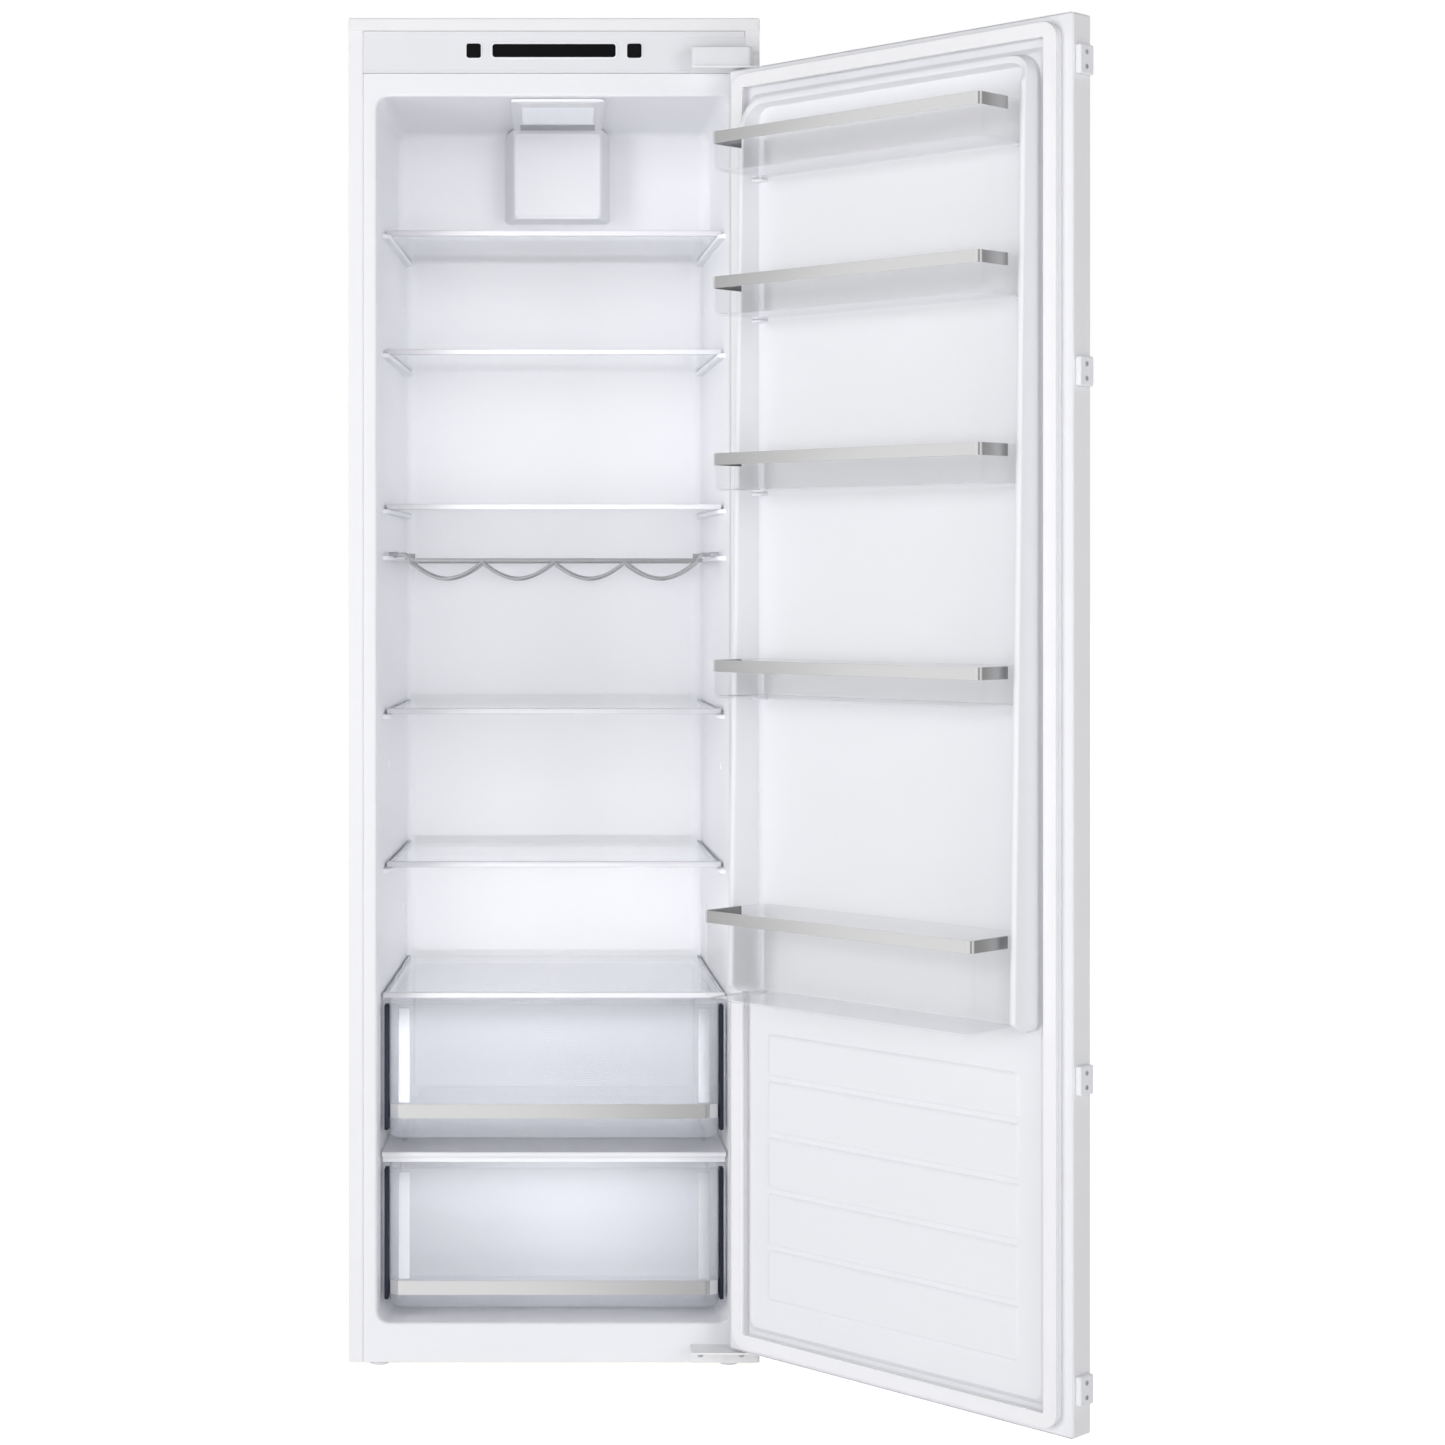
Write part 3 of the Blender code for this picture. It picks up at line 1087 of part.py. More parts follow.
def build_door_liner(door, plate):
    """The door's liner: its plate with a plateau, embossed slats, an arch of ridges and bin lugs."""
    liner = add_piece("door_liner", plate, door, "plastic")
    plate_back = DOOR_INNER - DOOR_PLATE
    rings = []
    for y, draft in ((plate_back + DOOR_PLATE / 2, 0), (DOOR_INNER + PLATEAU_HEIGHT, PLATEAU_DRAFT)):
        half = HALF_WIDTH - PLATEAU_SIDE_INSET - draft
        low, high = DOOR_BOTTOM + PLATEAU_BOTTOM_INSET + draft, DOOR_TOP - PLATEAU_TOP_INSET - draft
        rings.append([(-half, y, low), (half, y, low), (half, y, high), (-half, y, high)])
    unite(liner, skinned("plateau", rings))
    face = DOOR_INNER + PLATEAU_HEIGHT
    slats = []
    lines = [DOOR_BOTTOM + share * DOOR_HEIGHT for share in EMBOSS_LINE_SHARES]
    ys = (face - EMBOSS_HEIGHT, face + EMBOSS_HEIGHT)
    for low, high in zip(lines, lines[1:]):
        slats.append(block("slat", (-EMBOSS_HALF_WIDTH, EMBOSS_HALF_WIDTH), ys,
                           (low + EMBOSS_GROOVE / 2, high - EMBOSS_GROOVE / 2)))
    unite(liner, several("slats", slats))
    ridge_low = DOOR_BOTTOM + RIDGE_BOTTOM_SHARE * DOOR_HEIGHT
    unite(liner, ridge("ridge", ridge_low, DOOR_TOP - RIDGE_TOP_INSET))
    lugs = []
    for bottom in bin_bottoms():
        for s in (-1, 1):
            xs = sorted((s * (BIN_HALF_WIDTH - LUG_REACH), s * (RIDGE_INNER_HALF + LUG_REACH / 4)))
            lugs.append(block("lug", xs, (face - PLATEAU_HEIGHT / 2, face + LUG_DEPTH),
                              (bottom - GAP - LUG_HEIGHT, bottom - GAP)))
    unite(liner, several("lugs", lugs))


def bin_outline(depth, height, wall):
    """A bin seen from the side, drawn in by a wall: upright walls and a round lower front."""
    back, tip = BIN_BACK + wall, DOOR_INNER + depth - wall
    radius = BIN_CORNER - wall
    low = wall
    high = height + (OVERRUN if wall else 0)
    points = [(back, high), (back, low)]
    for i in range(CORNER_STEPS + 1):
        angle = -math.pi / 2 * (1 - i / CORNER_STEPS)
        points.append((tip - radius + radius * math.cos(angle), low + radius + radius * math.sin(angle)))
    points.append((tip, high))
    return points


def build_bins(door):
    """Five clear door bins, each with a silver strip round its rim."""
    for number, bottom in enumerate(bin_bottoms(), 1):
        height, depth = BIN_HEIGHTS[number - 1], BIN_DEPTHS[number - 1]
        name = f"door_bin_{number}"
        outer = [(y, bottom + z) for y, z in bin_outline(depth, height, 0)]
        inner = [(y, bottom + z) for y, z in bin_outline(depth, height, BIN_WALL)]
        body = add_piece(name, side_prism(name, outer, (-BIN_HALF_WIDTH, BIN_HALF_WIDTH)), door, "clear")
        room = BIN_HALF_WIDTH - BIN_WALL
        cut(body, side_prism("inside", inner, (-room, room)))

        near, far = DOOR_INNER + BIN_STRIP_START, DOOR_INNER + depth + GAP
        inside = BIN_HALF_WIDTH + GAP
        outside, front = inside + BIN_STRIP_SHEET, far + BIN_STRIP_SHEET
        band = [(-outside, near), (-outside, front), (outside, front), (outside, near),
                (inside, near), (inside, far), (-inside, far), (-inside, near)]
        top = bottom + height
        strip = flat_prism(name + "_strip", band, (top - BIN_STRIP_HEIGHT, top))
        add_piece(name + "_strip", strip, door, "silver")


def build_brackets(door):
    """Four brackets on the door's free edge, which carry the furniture door's slides."""
    middle = (DOOR_OUTER + DOOR_INNER) / 2
    xs = (-HALF_WIDTH - GAP - BRACKET_PROUD, -HALF_WIDTH - GAP)
    for number, share in enumerate(BRACKET_HEIGHT_SHARES, 1):
        z = DOOR_BOTTOM + share * DOOR_HEIGHT
        name = f"slide_bracket_{number}"
        mesh = block(name, xs, (middle - BRACKET_DEPTH / 2, middle + BRACKET_DEPTH / 2),
                     (z - BRACKET_HEIGHT / 2, z + BRACKET_HEIGHT / 2))
        chamfer(add_piece(name, mesh, door, "plastic"), BRACKET_EDGE)


def main():
    """Model the whole refrigerator."""
    clear_scene()
    front = empty("cabinet_front", (0, -CABINET_DEPTH / 2, 0), None, (0, 0, 0))
    door = empty("door_pivot", (PIVOT_X, PIVOT_Y, 0), front, (-PIVOT_X, -PIVOT_Y, 0), DOOR_ANGLE)
    build_casing(front)
    build_liner(front)
    build_foam(front)
    build_control_panel(front)
    build_hinges(front)
    build_duct(front)
    build_evaporator(front)
    build_machine(front)
    build_feet(front)
    build_shelves(front)
    build_rack(front)
    build_drawers(front)
    build_door(door)
    build_bins(door)
    build_brackets(door)


main()
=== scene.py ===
"""Looks of a built-in larder refrigerator with its door standing open.

Every piece is drawn in metres from the cabinet's front plane: x to the viewer's right, y into the
cabinet, z up. The door's pieces are drawn closed and then turned open about the hinge.
"""
import json
import math

import bmesh
import bpy
import numpy as np
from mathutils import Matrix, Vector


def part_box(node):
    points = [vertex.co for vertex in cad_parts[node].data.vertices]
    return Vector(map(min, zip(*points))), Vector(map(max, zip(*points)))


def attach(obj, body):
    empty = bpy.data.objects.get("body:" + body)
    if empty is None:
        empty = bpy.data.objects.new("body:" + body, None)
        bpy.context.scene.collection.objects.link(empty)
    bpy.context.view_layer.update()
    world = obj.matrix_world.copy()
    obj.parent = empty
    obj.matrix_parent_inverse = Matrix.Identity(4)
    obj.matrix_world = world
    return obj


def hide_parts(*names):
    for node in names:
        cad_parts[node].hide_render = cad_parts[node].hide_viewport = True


bl_info = {
    "name": "Built-in Refrigerator",
    "version": (1, 0, 0),
    "blender": (4, 5, 0),
    "location": "3D View > Sidebar > Refrigerator",
    "description": "Builds the visible pieces, finishes, light and camera of a built-in refrigerator",
    "category": "Object",
}

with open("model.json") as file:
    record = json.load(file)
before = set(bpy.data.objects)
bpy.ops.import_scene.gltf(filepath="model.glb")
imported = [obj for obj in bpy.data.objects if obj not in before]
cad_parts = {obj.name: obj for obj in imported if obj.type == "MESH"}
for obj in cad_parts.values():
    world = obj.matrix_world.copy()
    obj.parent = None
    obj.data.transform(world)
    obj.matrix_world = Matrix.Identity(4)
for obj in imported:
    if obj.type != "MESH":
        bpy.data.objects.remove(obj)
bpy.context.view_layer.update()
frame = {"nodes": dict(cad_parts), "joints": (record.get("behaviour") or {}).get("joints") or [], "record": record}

# Places taken from the frame
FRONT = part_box("side_panel_left")[0].y
HINGE = next(joint for joint in frame["joints"] if joint["name"] == "door_hinge")
PIVOT_X, PIVOT_Y = HINGE["pos_m"][0], HINGE["pos_m"][1] - FRONT
DOOR_TURN = -math.radians(HINGE["range_deg"][0])

TINY = 1e-5
# what touching CAD pieces keep between them
GAP = 0.0003
SIDES = (-1, 1)
UP = (0, 0, 1)
INWARD = (0, 1, 0)
# of the shelves, and of the door's bins
NUMBERS = range(1, 6)
QUARTER = math.pi / 2


def span(node):
    """A node's lowest and highest corner, measured from the cabinet's front plane."""
    return np.array(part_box(node)) - (0, FRONT, 0)


# Settings

def length(name, description, default):
    return bpy.props.FloatProperty(name=name, description=description, default=default,
                                   unit="LENGTH", precision=4)


def factor(name, description, default):
    return bpy.props.FloatProperty(name=name, description=description, default=default,
                                   subtype="FACTOR", min=0.0, max=1.0)


def colour(name, description, default):
    return bpy.props.FloatVectorProperty(name=name, description=description, default=default,
                                         subtype="COLOR", size=3, min=0.0, max=1.0)


def amount(name, description, default):
    return bpy.props.FloatProperty(name=name, description=description, default=default)


class FridgeColours(bpy.types.PropertyGroup):
    """Colours of the refrigerator's finishes."""

    enamel: colour("Enamel", "Painted steel of the casing and the door", (0.83, 0.83, 0.85))
    plastic: colour("White plastic", "Door liner, cabinet flange and brackets", (0.825, 0.83, 0.86))
    # the cavity plastic is the white plastic painted lighter: painted light for the dimmer light inside the
    # cabinet
    cavity: colour("Cavity plastic", "Inside of the cabinet", (0.90, 0.905, 0.935))
    # the fascia plastic is the white plastic painted darker: a painted shade of the dimmer light along the
    # cabinet's top
    fascia: colour("Fascia plastic", "Control panel and hinge cover", (0.76, 0.765, 0.795))
    zinc: colour("Zinc", "Plated steel of the back, base and hinges", (0.60, 0.61, 0.63))
    silver: colour("Silver trim", "Brushed strips on bins and drawers", (0.83, 0.83, 0.83))
    satin: colour("Satin trim", "Front edges of the glass shelves", (0.68, 0.68, 0.71))
    chrome: colour("Chrome", "Wires of the wine rack", (0.62, 0.62, 0.64))
    glass: colour("Shelf glass", "Tint of the glass shelves", (0.95, 0.97, 0.98))
    glass_edge: colour("Glass edge", "Side edges of the glass shelves", (0.30, 0.33, 0.36))
    clear: colour("Clear plastic", "Tint of the door bins", (0.93, 0.93, 0.96))
    # the drawers' darker grey-blue tint is a painted shade that dims what is seen through their fronts
    drawer_shade_tint: colour("Drawer plastic", "Tint of the drawers", (0.74, 0.76, 0.84))
    foam: colour("Foam", "Insulation between casing and liner", (0.78, 0.66, 0.42))
    rubber: colour("Gasket", "The door's magnetic seal", (0.88, 0.88, 0.90))
    black: colour("Black steel", "Compressor and condenser", (0.015, 0.015, 0.017))


class FridgeCabinet(bpy.types.PropertyGroup):
    """Sizes of the pieces that the cabinet carries."""

    front_half: length("Half width at the front", "Half the cavity's width at its mouth", 0.2324)
    back_half: length("Half width at the back", "Half the cavity's width at its back wall", 0.2160)
    depth: length("Cavity depth", "From the front plane to the back wall", 0.440)
    floor: length("Cavity floor", "Height of the cavity's floor", 0.0565)
    ceiling: length("Cavity ceiling", "Height of the cavity's ceiling", 1.667)
    step_depth: length("Low step", "Depth of the low part of the cavity", 0.230)
    step_top: length("Step height", "Height of the step over the machine compartment", 0.2449)
    housing_depth: length("Housing depth", "Depth of the top part of the cavity", 0.305)
    housing_bottom: length("Housing bottom", "Height of the underside of the upper rear wall", 1.515)
    corner: length("Cavity corner", "Radius of the cavity's corners", 0.016)
    lip: length("Lip", "Radius where the front flange turns into the cavity", 0.004)
    wall: length("Liner wall", "Thickness of the liner", 0.003)
    rib_reach: length("Rib reach", "How far a shelf rib stands in from the wall", 0.010)
    trim_height: length("Shelf trim", "Height of the trim on a shelf's front edge", 0.0075)
    drawer_corner: length("Drawer corner", "Radius of a drawer's upright corners", 0.020)


class FridgeDoor(bpy.types.PropertyGroup):
    """Sizes of the pieces that the door carries."""

    corner: length("Door corner", "Radius of the door's corners", 0.004)
    edge: length("Door edge", "Radius of the bend round the door's outer face", 0.003)
    ridge_width: length("Ridge width", "Thickness of the ridges at their foot", 0.014)
    ridge_tip: length("Ridge tip", "Thickness of the ridges at their tip", 0.009)
    ridge_corner: length("Ridge corner", "Radius of the arch's upper corners", 0.030)
    groove: length("Groove", "Height of the grooves between the embossed slats", 0.006)
    bin_corner: length("Bin corner", "Radius of a bin's upright corners", 0.006)
    bin_wall: length("Bin wall", "Thickness of a bin's wall", 0.0025)
    strip_height: length("Strip height", "Height of the silver strip on a bin", 0.015)


class FridgeStage(bpy.types.PropertyGroup):
    """Camera and light."""

    distance: length("Camera distance", "From the cabinet's front plane to the camera", 3.650)
    height: length("Camera height", "Height of the camera over the floor", 1.0347)
    lens: amount("Lens", "Focal length in millimetres on a 36 mm sensor", 69.25)
    shift_x: amount("Shift across", "Sideways shift of the lens", 0.1166)
    shift_y: amount("Shift up", "Upward shift of the lens", -0.1000)
    ambient: amount("Ambient", "Strength of the light from all round", 0.25)
    mirrored: amount("Mirrored light", "Strength of the studio that glossy surfaces reflect", 0.80)
    key: amount("Key light", "Power of the large front light in watts", 21.0)
    left: amount("Left light", "Power of the light from the left in watts", 108.0)
    right: amount("Right light", "Power of the light from the right in watts", 62.0)
    rear: amount("Rear lights", "Power of each light behind the front plane in watts", 70.0)
    fill_high: amount("High fill", "Power of the light on the upper shelves in watts", 0.39)
    fill_middle: amount("Middle fill", "Power of the light over the lowest shelf in watts", 0.10)
    fill_low: amount("Low fill", "Power of the light over the crisper cover in watts", 0.22)
    fill_upper: amount("Upper drawer fill", "Power of the light on the upper drawer in watts", 0.33)
    fill_lower: amount("Lower drawer fill", "Power of the light on the lower drawer in watts", 0.23)
    floor_glow: factor("Floor glow", "How white the camera sees the floor", 0.80)
    floor_light: factor("Floor light", "How much light the floor throws up", 0.18)


# Shapes

def columns(*parts):
    """Points, or rows of two or three values, from their coordinates."""
    return np.stack(np.broadcast_arrays(*parts), axis=-1)


def unit(vectors):
    """Vectors divided by their length."""
    return vectors / np.linalg.norm(vectors, axis=-1, keepdims=True)


def skin(grid, around=True, along_too=False, caps=True):
    """Quads between neighbouring rows and columns of a grid of points. Columns close on themselves
    when the rows are rings, rows close when the rings form a loop, and otherwise the first and the
    last ring are closed by one flat face each."""
    rows, columns = grid.shape[:2]
    index = np.arange(rows * columns).reshape(rows, columns)
    if around:
        index = np.concatenate((index, index[:, :1]), axis=1)
    if along_too:
        index = np.concatenate((index, index[:1]), axis=0)
    quads = np.stack((index[:-1, :-1], index[:-1, 1:], index[1:, 1:], index[1:, :-1]), axis=-1)
    ends = [] if along_too or not caps else [index[0, :columns][::-1], index[-1, :columns]]
    return grid.reshape(-1, 3), quads.reshape(-1, 4), ends


def filleted(points, radius, steps=6, closed=False):
    """A line through points with round corners. Near a corner c it is (1 - t)^2 a + 2 t (1 - t) c
    + t^2 b, where a and b stand a radius away from c along its two sides."""
    points = np.asarray(points, float)
    radius = np.array(np.broadcast_to(radius, len(points)), float)
    if not closed:
        radius[[0, -1]] = 0
    reach = radius[:, None]
    before = points + unit(np.roll(points, 1, axis=0) - points) * reach
    after = points + unit(np.roll(points, -1, axis=0) - points) * reach
    t = np.linspace(0, 1, steps + 1)[None, :, None]
    curve = (1 - t) ** 2 * before[:, None] + 2 * t * (1 - t) * points[:, None] + t ** 2 * after[:, None]
    curve = curve.reshape(-1, points.shape[1])
    keep = np.linalg.norm(curve - np.roll(curve, 1, axis=0), axis=1) > TINY
    keep[0] = keep[0] or not closed
    return curve[keep]


def box_outline(low, high, radius, steps):
    """The closed outline of a rectangle between two corners, rounded by a radius at each of its
    corners, or by four radii in the order that starts at the low corner and goes along first."""
    (near, bottom), (far, top) = low, high
    return filleted(((near, bottom), (far, bottom), (far, top), (near, top)), radius, steps, True)


def place_along(axis, u, v, h):
    """Points from two places across an axis and one along it."""
    return columns(*{"x": (h, u, v), "y": (u, h, v), "z": (u, v, h)}[axis])


def rectangle_rings(half_u, half_v, corner, steps=6):
    """Rounded rectangles, one a row: a point is its corner arc's centre plus r (cos a, sin a)."""
    half_u, half_v, corner = (np.asarray(value, float).reshape(-1, 1) for value in (half_u, half_v, corner))
    quarter = np.repeat(np.arange(4), steps + 1)
    angle = (quarter + np.tile(np.linspace(0, 1, steps + 1), 4)) * QUARTER
    sign_u = np.array((1, -1, -1, 1))[quarter]
    sign_v = np.array((1, 1, -1, -1))[quarter]
    return (sign_u * (half_u - corner) + corner * np.cos(angle),
            sign_v * (half_v - corner) + corner * np.sin(angle))


def stacked(rows, loop=False):
    """Rounded rectangles that face forward, each a row (half width, low, high, corner, y), skinned
    one to the next. As a loop the last meets the first, which makes a frame of one section."""
    half, low, high, corner, y = np.array(rows, float).T
    x, z = rectangle_rings(half, (high - low) / 2, corner)
    return skin(place_along("y", x, ((low + high) / 2)[:, None] + z, y[:, None]), along_too=loop)


def moulded(axis, low, high, corner, profile, steps=6):
    """Rounded rectangles between two corner points, stacked along an axis: ring i is drawn in by the
    profile's inset i and stands at its height i over the low end."""
    order = {"x": [1, 2, 0], "y": [0, 2, 1], "z": [0, 1, 2]}[axis]
    low, high = np.array(low, float)[order], np.array(high, float)[order]
    centre, half = (low + high) / 2, (high - low) / 2
    inset, height = np.asarray(profile, float).T
    u, v = rectangle_rings(half[0] - inset, half[1] - inset, np.maximum(corner - inset, TINY), steps)
    return skin(place_along(axis, centre[0] + u, centre[1] + v, (low[2] + height)[:, None]))


def arc(radius, steps):
    """Points r (1 - sin a, 1 - cos a) of a quarter turn from a face into a side."""
    angle = np.linspace(0, QUARTER, steps + 1)
    return columns(radius * (1 - np.sin(angle)), radius * (1 - np.cos(angle)))


def pad(axis, low, high, corner, edge, steps=6):
    """A block with round upright corners and soft rims: near a rim its inset is e (1 - sin a) at a
    height of e (1 - cos a)."""
    thick = abs(high["xyz".index(axis)] - low["xyz".index(axis)])
    rim = arc(edge, 3)
    return moulded(axis, low, high, corner, np.concatenate((rim, rim[::-1] * (1, -1) + (0, thick))), steps)


def pads_on_both_sides(axis, x, half, low, high, corner, edge, steps=6):
    """Two pads alike, their middles x to the left and right. Low and high are their (y, z)."""
    return [pad(axis, (s * x - half, *low), (s * x + half, *high), corner, edge, steps) for s in SIDES]


def facing_pad(low, high, margin, front, back, corner, edge):
    """A pad between two depths, wider and higher than a box by a margin all round."""
    return pad("y", (low[0] - margin, front, low[2] - margin), (high[0] + margin, back, high[2] + margin),
               corner, edge)


def tub_profile(height, wall, foot):
    """A thin-walled tub: up the outer side from a round foot, over a round rim, down the inner side
    and into the floor."""
    outer = arc(foot, 5)
    turn = np.linspace(0, math.pi, 5)
    rim = columns(wall / 2 * (1 - np.cos(turn)), height - wall / 2 * (1 - np.sin(turn)))
    inner = arc(foot - wall, 5)[::-1] + wall
    return np.concatenate((outer, rim, inner))


def bar(axis, outline, low, high):
    """An outline carried straight along an axis between two places."""
    u, v = np.asarray(outline, float).T
    return skin(place_along(axis, u, v, np.array((low, high))[:, None]))


def carried(profile, path, up, closed=False, scale=1.0):
    """A profile of (u, v) carried along a path: point = path + side * u + rise * v, where side is
    tangent x up and rise is side x tangent. A scale of one (u, v) a path point may vary it."""
    path = np.asarray(path, float)
    if closed:
        tangent = np.roll(path, -1, axis=0) - np.roll(path, 1, axis=0)
    else:
        tangent = np.gradient(path, axis=0)
    tangent = unit(tangent)
    side = unit(np.cross(tangent, up))
    rise = np.cross(side, tangent)
    profile = np.asarray(profile, float) * np.broadcast_to(scale, (len(path), 2))[:, None]
    return skin(path[:, None] + side[:, None] * profile[..., :1] + rise[:, None] * profile[..., 1:],
                along_too=closed)


def circle(radius, count):
    """Points (r cos a, r sin a) of a circle."""
    angle = np.arange(count) * 2 * math.pi / count
    return columns(radius * np.cos(angle), radius * np.sin(angle))


def tube(path, radius, up, count):
    """A round wire along a path."""
    return carried(circle(radius, count), path, up)


def at_depth(line, y):
    """A line of (x, z) as a path at one depth."""
    return columns(line[:, 0], y, line[:, 1])


def turned(axis, centre, profile, count=32, loop=False):
    """A profile of (radius, place along the axis) turned about an axis through a centre."""
    radius, height = np.asarray(profile, float).T
    ring = circle(1.0, count)
    u = centre[0] + np.maximum(radius, TINY)[:, None] * ring[:, 0]
    v = centre[1] + np.maximum(radius, TINY)[:, None] * ring[:, 1]
    return skin(place_along(axis, u, v, height[:, None]), along_too=loop)


def small_profile(width, height, edge):
    """A rounded rectangle about its own centre, as a profile to be carried."""
    u, v = rectangle_rings(width / 2, height / 2, edge, 2)
    return columns(u[0], v[0])


def u_path(half, open_y, shut_y, corner, z):
    """Along one side, round two corners and back along the other: an arc point stands r (1 - cos a)
    in from the side and r (1 - sin a) short of the end."""
    way = math.copysign(1, shut_y - open_y)
    turns = np.linspace(0, QUARTER, 9)
    near, far = corner * (1 - np.cos(turns)), corner * (1 - np.sin(turns))
    x = np.concatenate(([-half], near - half, half - far, [half]))
    y = np.concatenate(([open_y], shut_y - way * far, shut_y - way * near, [open_y]))
    return columns(x, y, z)


def strip(path, height):
    """A thin upright band along a level path."""
    return carried(small_profile(width=0.001, height=height, edge=0.0004), path, UP)


def screw(axis, centre, base, radius):
    """A domed screw head with a hex socket sunk in it, standing on a washer. It looks towards the low
    end of its axis."""
    rows = ((1.0, 0.0), (1.0, 0.10), (0.80, 0.14), (0.78, 0.30), (0.60, 0.44), (0.34, 0.50),
            (0.30, 0.46), (0.28, 0.22), (0.0, 0.20))
    return turned(axis, centre, [(radius * r, base - radius * h) for r, h in rows], 24)


def in_cabinet(points):
    """From the front plane into the frame."""
    return points + (0, FRONT, 0)


def on_door(points):
    """The closed door's places, turned about the hinge by the door's angle, into the frame."""
    c, s = math.cos(DOOR_TURN), math.sin(DOOR_TURN)
    x, y = points[:, 0] - PIVOT_X, points[:, 1] - PIVOT_Y
    return in_cabinet(columns(PIVOT_X + c * x - s * y, PIVOT_Y + s * x + c * y, points[:, 2]))


# begins the name of every material here, because the CAD's own plain ones bear the bare slot names
LOOK = "look_"


def piece(name, skins, body, slot, replaced=(), finish=None, angle=40):
    """One object of closed skins with its finish, riding on a body. What rides on the door or on one
    of its bins is turned with the door."""
    place = on_door if body.startswith("door") else in_cabinet
    points, faces, start = [], [], 0
    for verts, quads, ends in skins:
        points.append(verts)
        faces += (quads + start).tolist() + [(end + start).tolist() for end in ends]
        start += len(verts)
    mesh = bpy.data.meshes.new(name)
    mesh.from_pydata(place(np.concatenate(points)).tolist(), [], faces)
    shape = bmesh.new()
    shape.from_mesh(mesh)
    bmesh.ops.remove_doubles(shape, verts=shape.verts, dist=TINY * 2)
    bmesh.ops.recalc_face_normals(shape, faces=shape.faces)
    shape.to_mesh(mesh)
    shape.free()
    mesh.shade_smooth()
    mesh.set_sharp_from_angle(angle=math.radians(angle))
    mesh.materials.append(bpy.data.materials[LOOK + (finish or slot)])
    obj = bpy.data.objects.new(name, mesh)
    bpy.context.collection.objects.link(obj)
    obj.modifiers.new("flat_faces", "WEIGHTED_NORMAL").keep_sharp = True
    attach(obj, body)
    if replaced:
        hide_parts(*replaced)


# Finishes

class Value:
    """A socket that sums can be written on: each operator adds a Math node."""

    def __init__(self, nodes, socket):
        self.nodes, self.socket = nodes, socket

    def maths(self, operation, first, second=0.0):
        return self.nodes.node("ShaderNodeMath", {"operation": operation}, {0: first, 1: second})

    def __add__(self, other):
        return self.maths("ADD", self, other)

    __radd__ = __add__

    def __sub__(self, other):
        return self.maths("SUBTRACT", self, other)

    def __rsub__(self, other):
        return self.maths("SUBTRACT", other, self)

    def __mul__(self, other):
        return self.maths("MULTIPLY", self, other)

    __rmul__ = __mul__

    def __truediv__(self, other):
        return self.maths("DIVIDE", self, other)

    def __pow__(self, other):
        return self.maths("POWER", self, other)

    def above(self, limit):
        return self.maths("GREATER_THAN", self, limit)

    def beside(self, output):
        """Another output of the same node."""
        return Value(self.nodes, self.socket.node.outputs[output])


class Nodes:
    """A node tree with one way to add a node."""

    def __init__(self, tree):
        self.tree = tree

    def node(self, kind, settings=None, inputs=None, output=0):
        made = self.tree.nodes.new(kind)
        for key, value in (settings or {}).items():
            setattr(made, key, value)
        for key, value in (inputs or {}).items():
            self.feed(made.inputs[key], value)
        return Value(self, made.outputs[output])

    def feed(self, socket, value):
        if isinstance(value, Value):
            self.tree.links.new(value.socket, socket)
        elif hasattr(value, "__len__") and len(value) == 3 and socket.type == "RGBA":
            socket.default_value = (*value, 1.0)
        else:
            socket.default_value = value

    def mix(self, share, first, second):
        return self.node("ShaderNodeMix", {"data_type": "RGBA"}, {0: share, 6: first, 7: second}, 2)


class Paint(Nodes):
    """A material on a Principled shader whose patterns read the object's own coordinates."""

    def __init__(self, name):
        material = bpy.data.materials.new(LOOK + name)
        material.use_nodes = True
        super().__init__(material.node_tree)
        self.shader = material.node_tree.nodes["Principled BSDF"]
        self.material = material

    def where(self, stretch=(1, 1, 1)):
        spot = self.node("ShaderNodeTexCoord", output="Object")
        return self.node("ShaderNodeMapping", inputs={"Vector": spot, "Scale": stretch})

    def noise(self, scale, detail=2.0, stretch=(1, 1, 1)):
        return self.node("ShaderNodeTexNoise", inputs={"Vector": self.where(stretch), "Scale": scale,
                                                       "Detail": detail})

    def cells(self, scale, output=0):
        return self.node("ShaderNodeTexVoronoi", inputs={"Vector": self.where(), "Scale": scale},
                         output=output)

    def bump(self, height, depth, strength=1.0):
        return self.node("ShaderNodeBump", inputs={"Height": height, "Distance": depth,
                                                   "Strength": strength})

    def set(self, **sockets):
        for key, value in sockets.items():
            self.feed(self.shader.inputs[key.replace("_", " ").title().replace("Ior", "IOR")], value)


def dim(tint, share):
    """A colour times a share, which makes it darker below 1 and lighter above."""
    return tuple(value * share for value in tint)


def paint_grained(name, dark, light, roughness, cloud, grain, **more):
    """A finish that drifts between two shades under a fine grain. Cloud is its (scale, what it adds
    to the roughness), and grain its (scale, detail, depth, strength)."""
    paint = Paint(name)
    drift = paint.noise(cloud[0], 3.0)
    fine = paint.noise(*grain[:2])
    paint.set(base_color=paint.mix(drift, dark, light), roughness=roughness + cloud[1] * drift,
              normal=paint.bump(fine, *grain[2:]), **more)


def paint_enamel(tint):
    paint_grained("painted_sheet", dim(tint, 0.97), tint, 0.30, cloud=(4.0, 0.10),
                  grain=(420.0, 1.0, 0.00006, 0.5), coat_weight=0.15, coat_roughness=0.2)


def paint_plastic(name, tint, roughness=0.34):
    paint_grained(name, dim(tint, 0.975), tint, roughness, cloud=(5.0, 0.10),
                  grain=(900.0, 2.0, 0.00003, 0.5))


def paint_rubber(tint):
    paint_grained("seal_rubber", dim(tint, 0.95), tint, 0.52, cloud=(18.0, 0.12),
                  grain=(500.0, 1.0, 0.00003, 0.5))


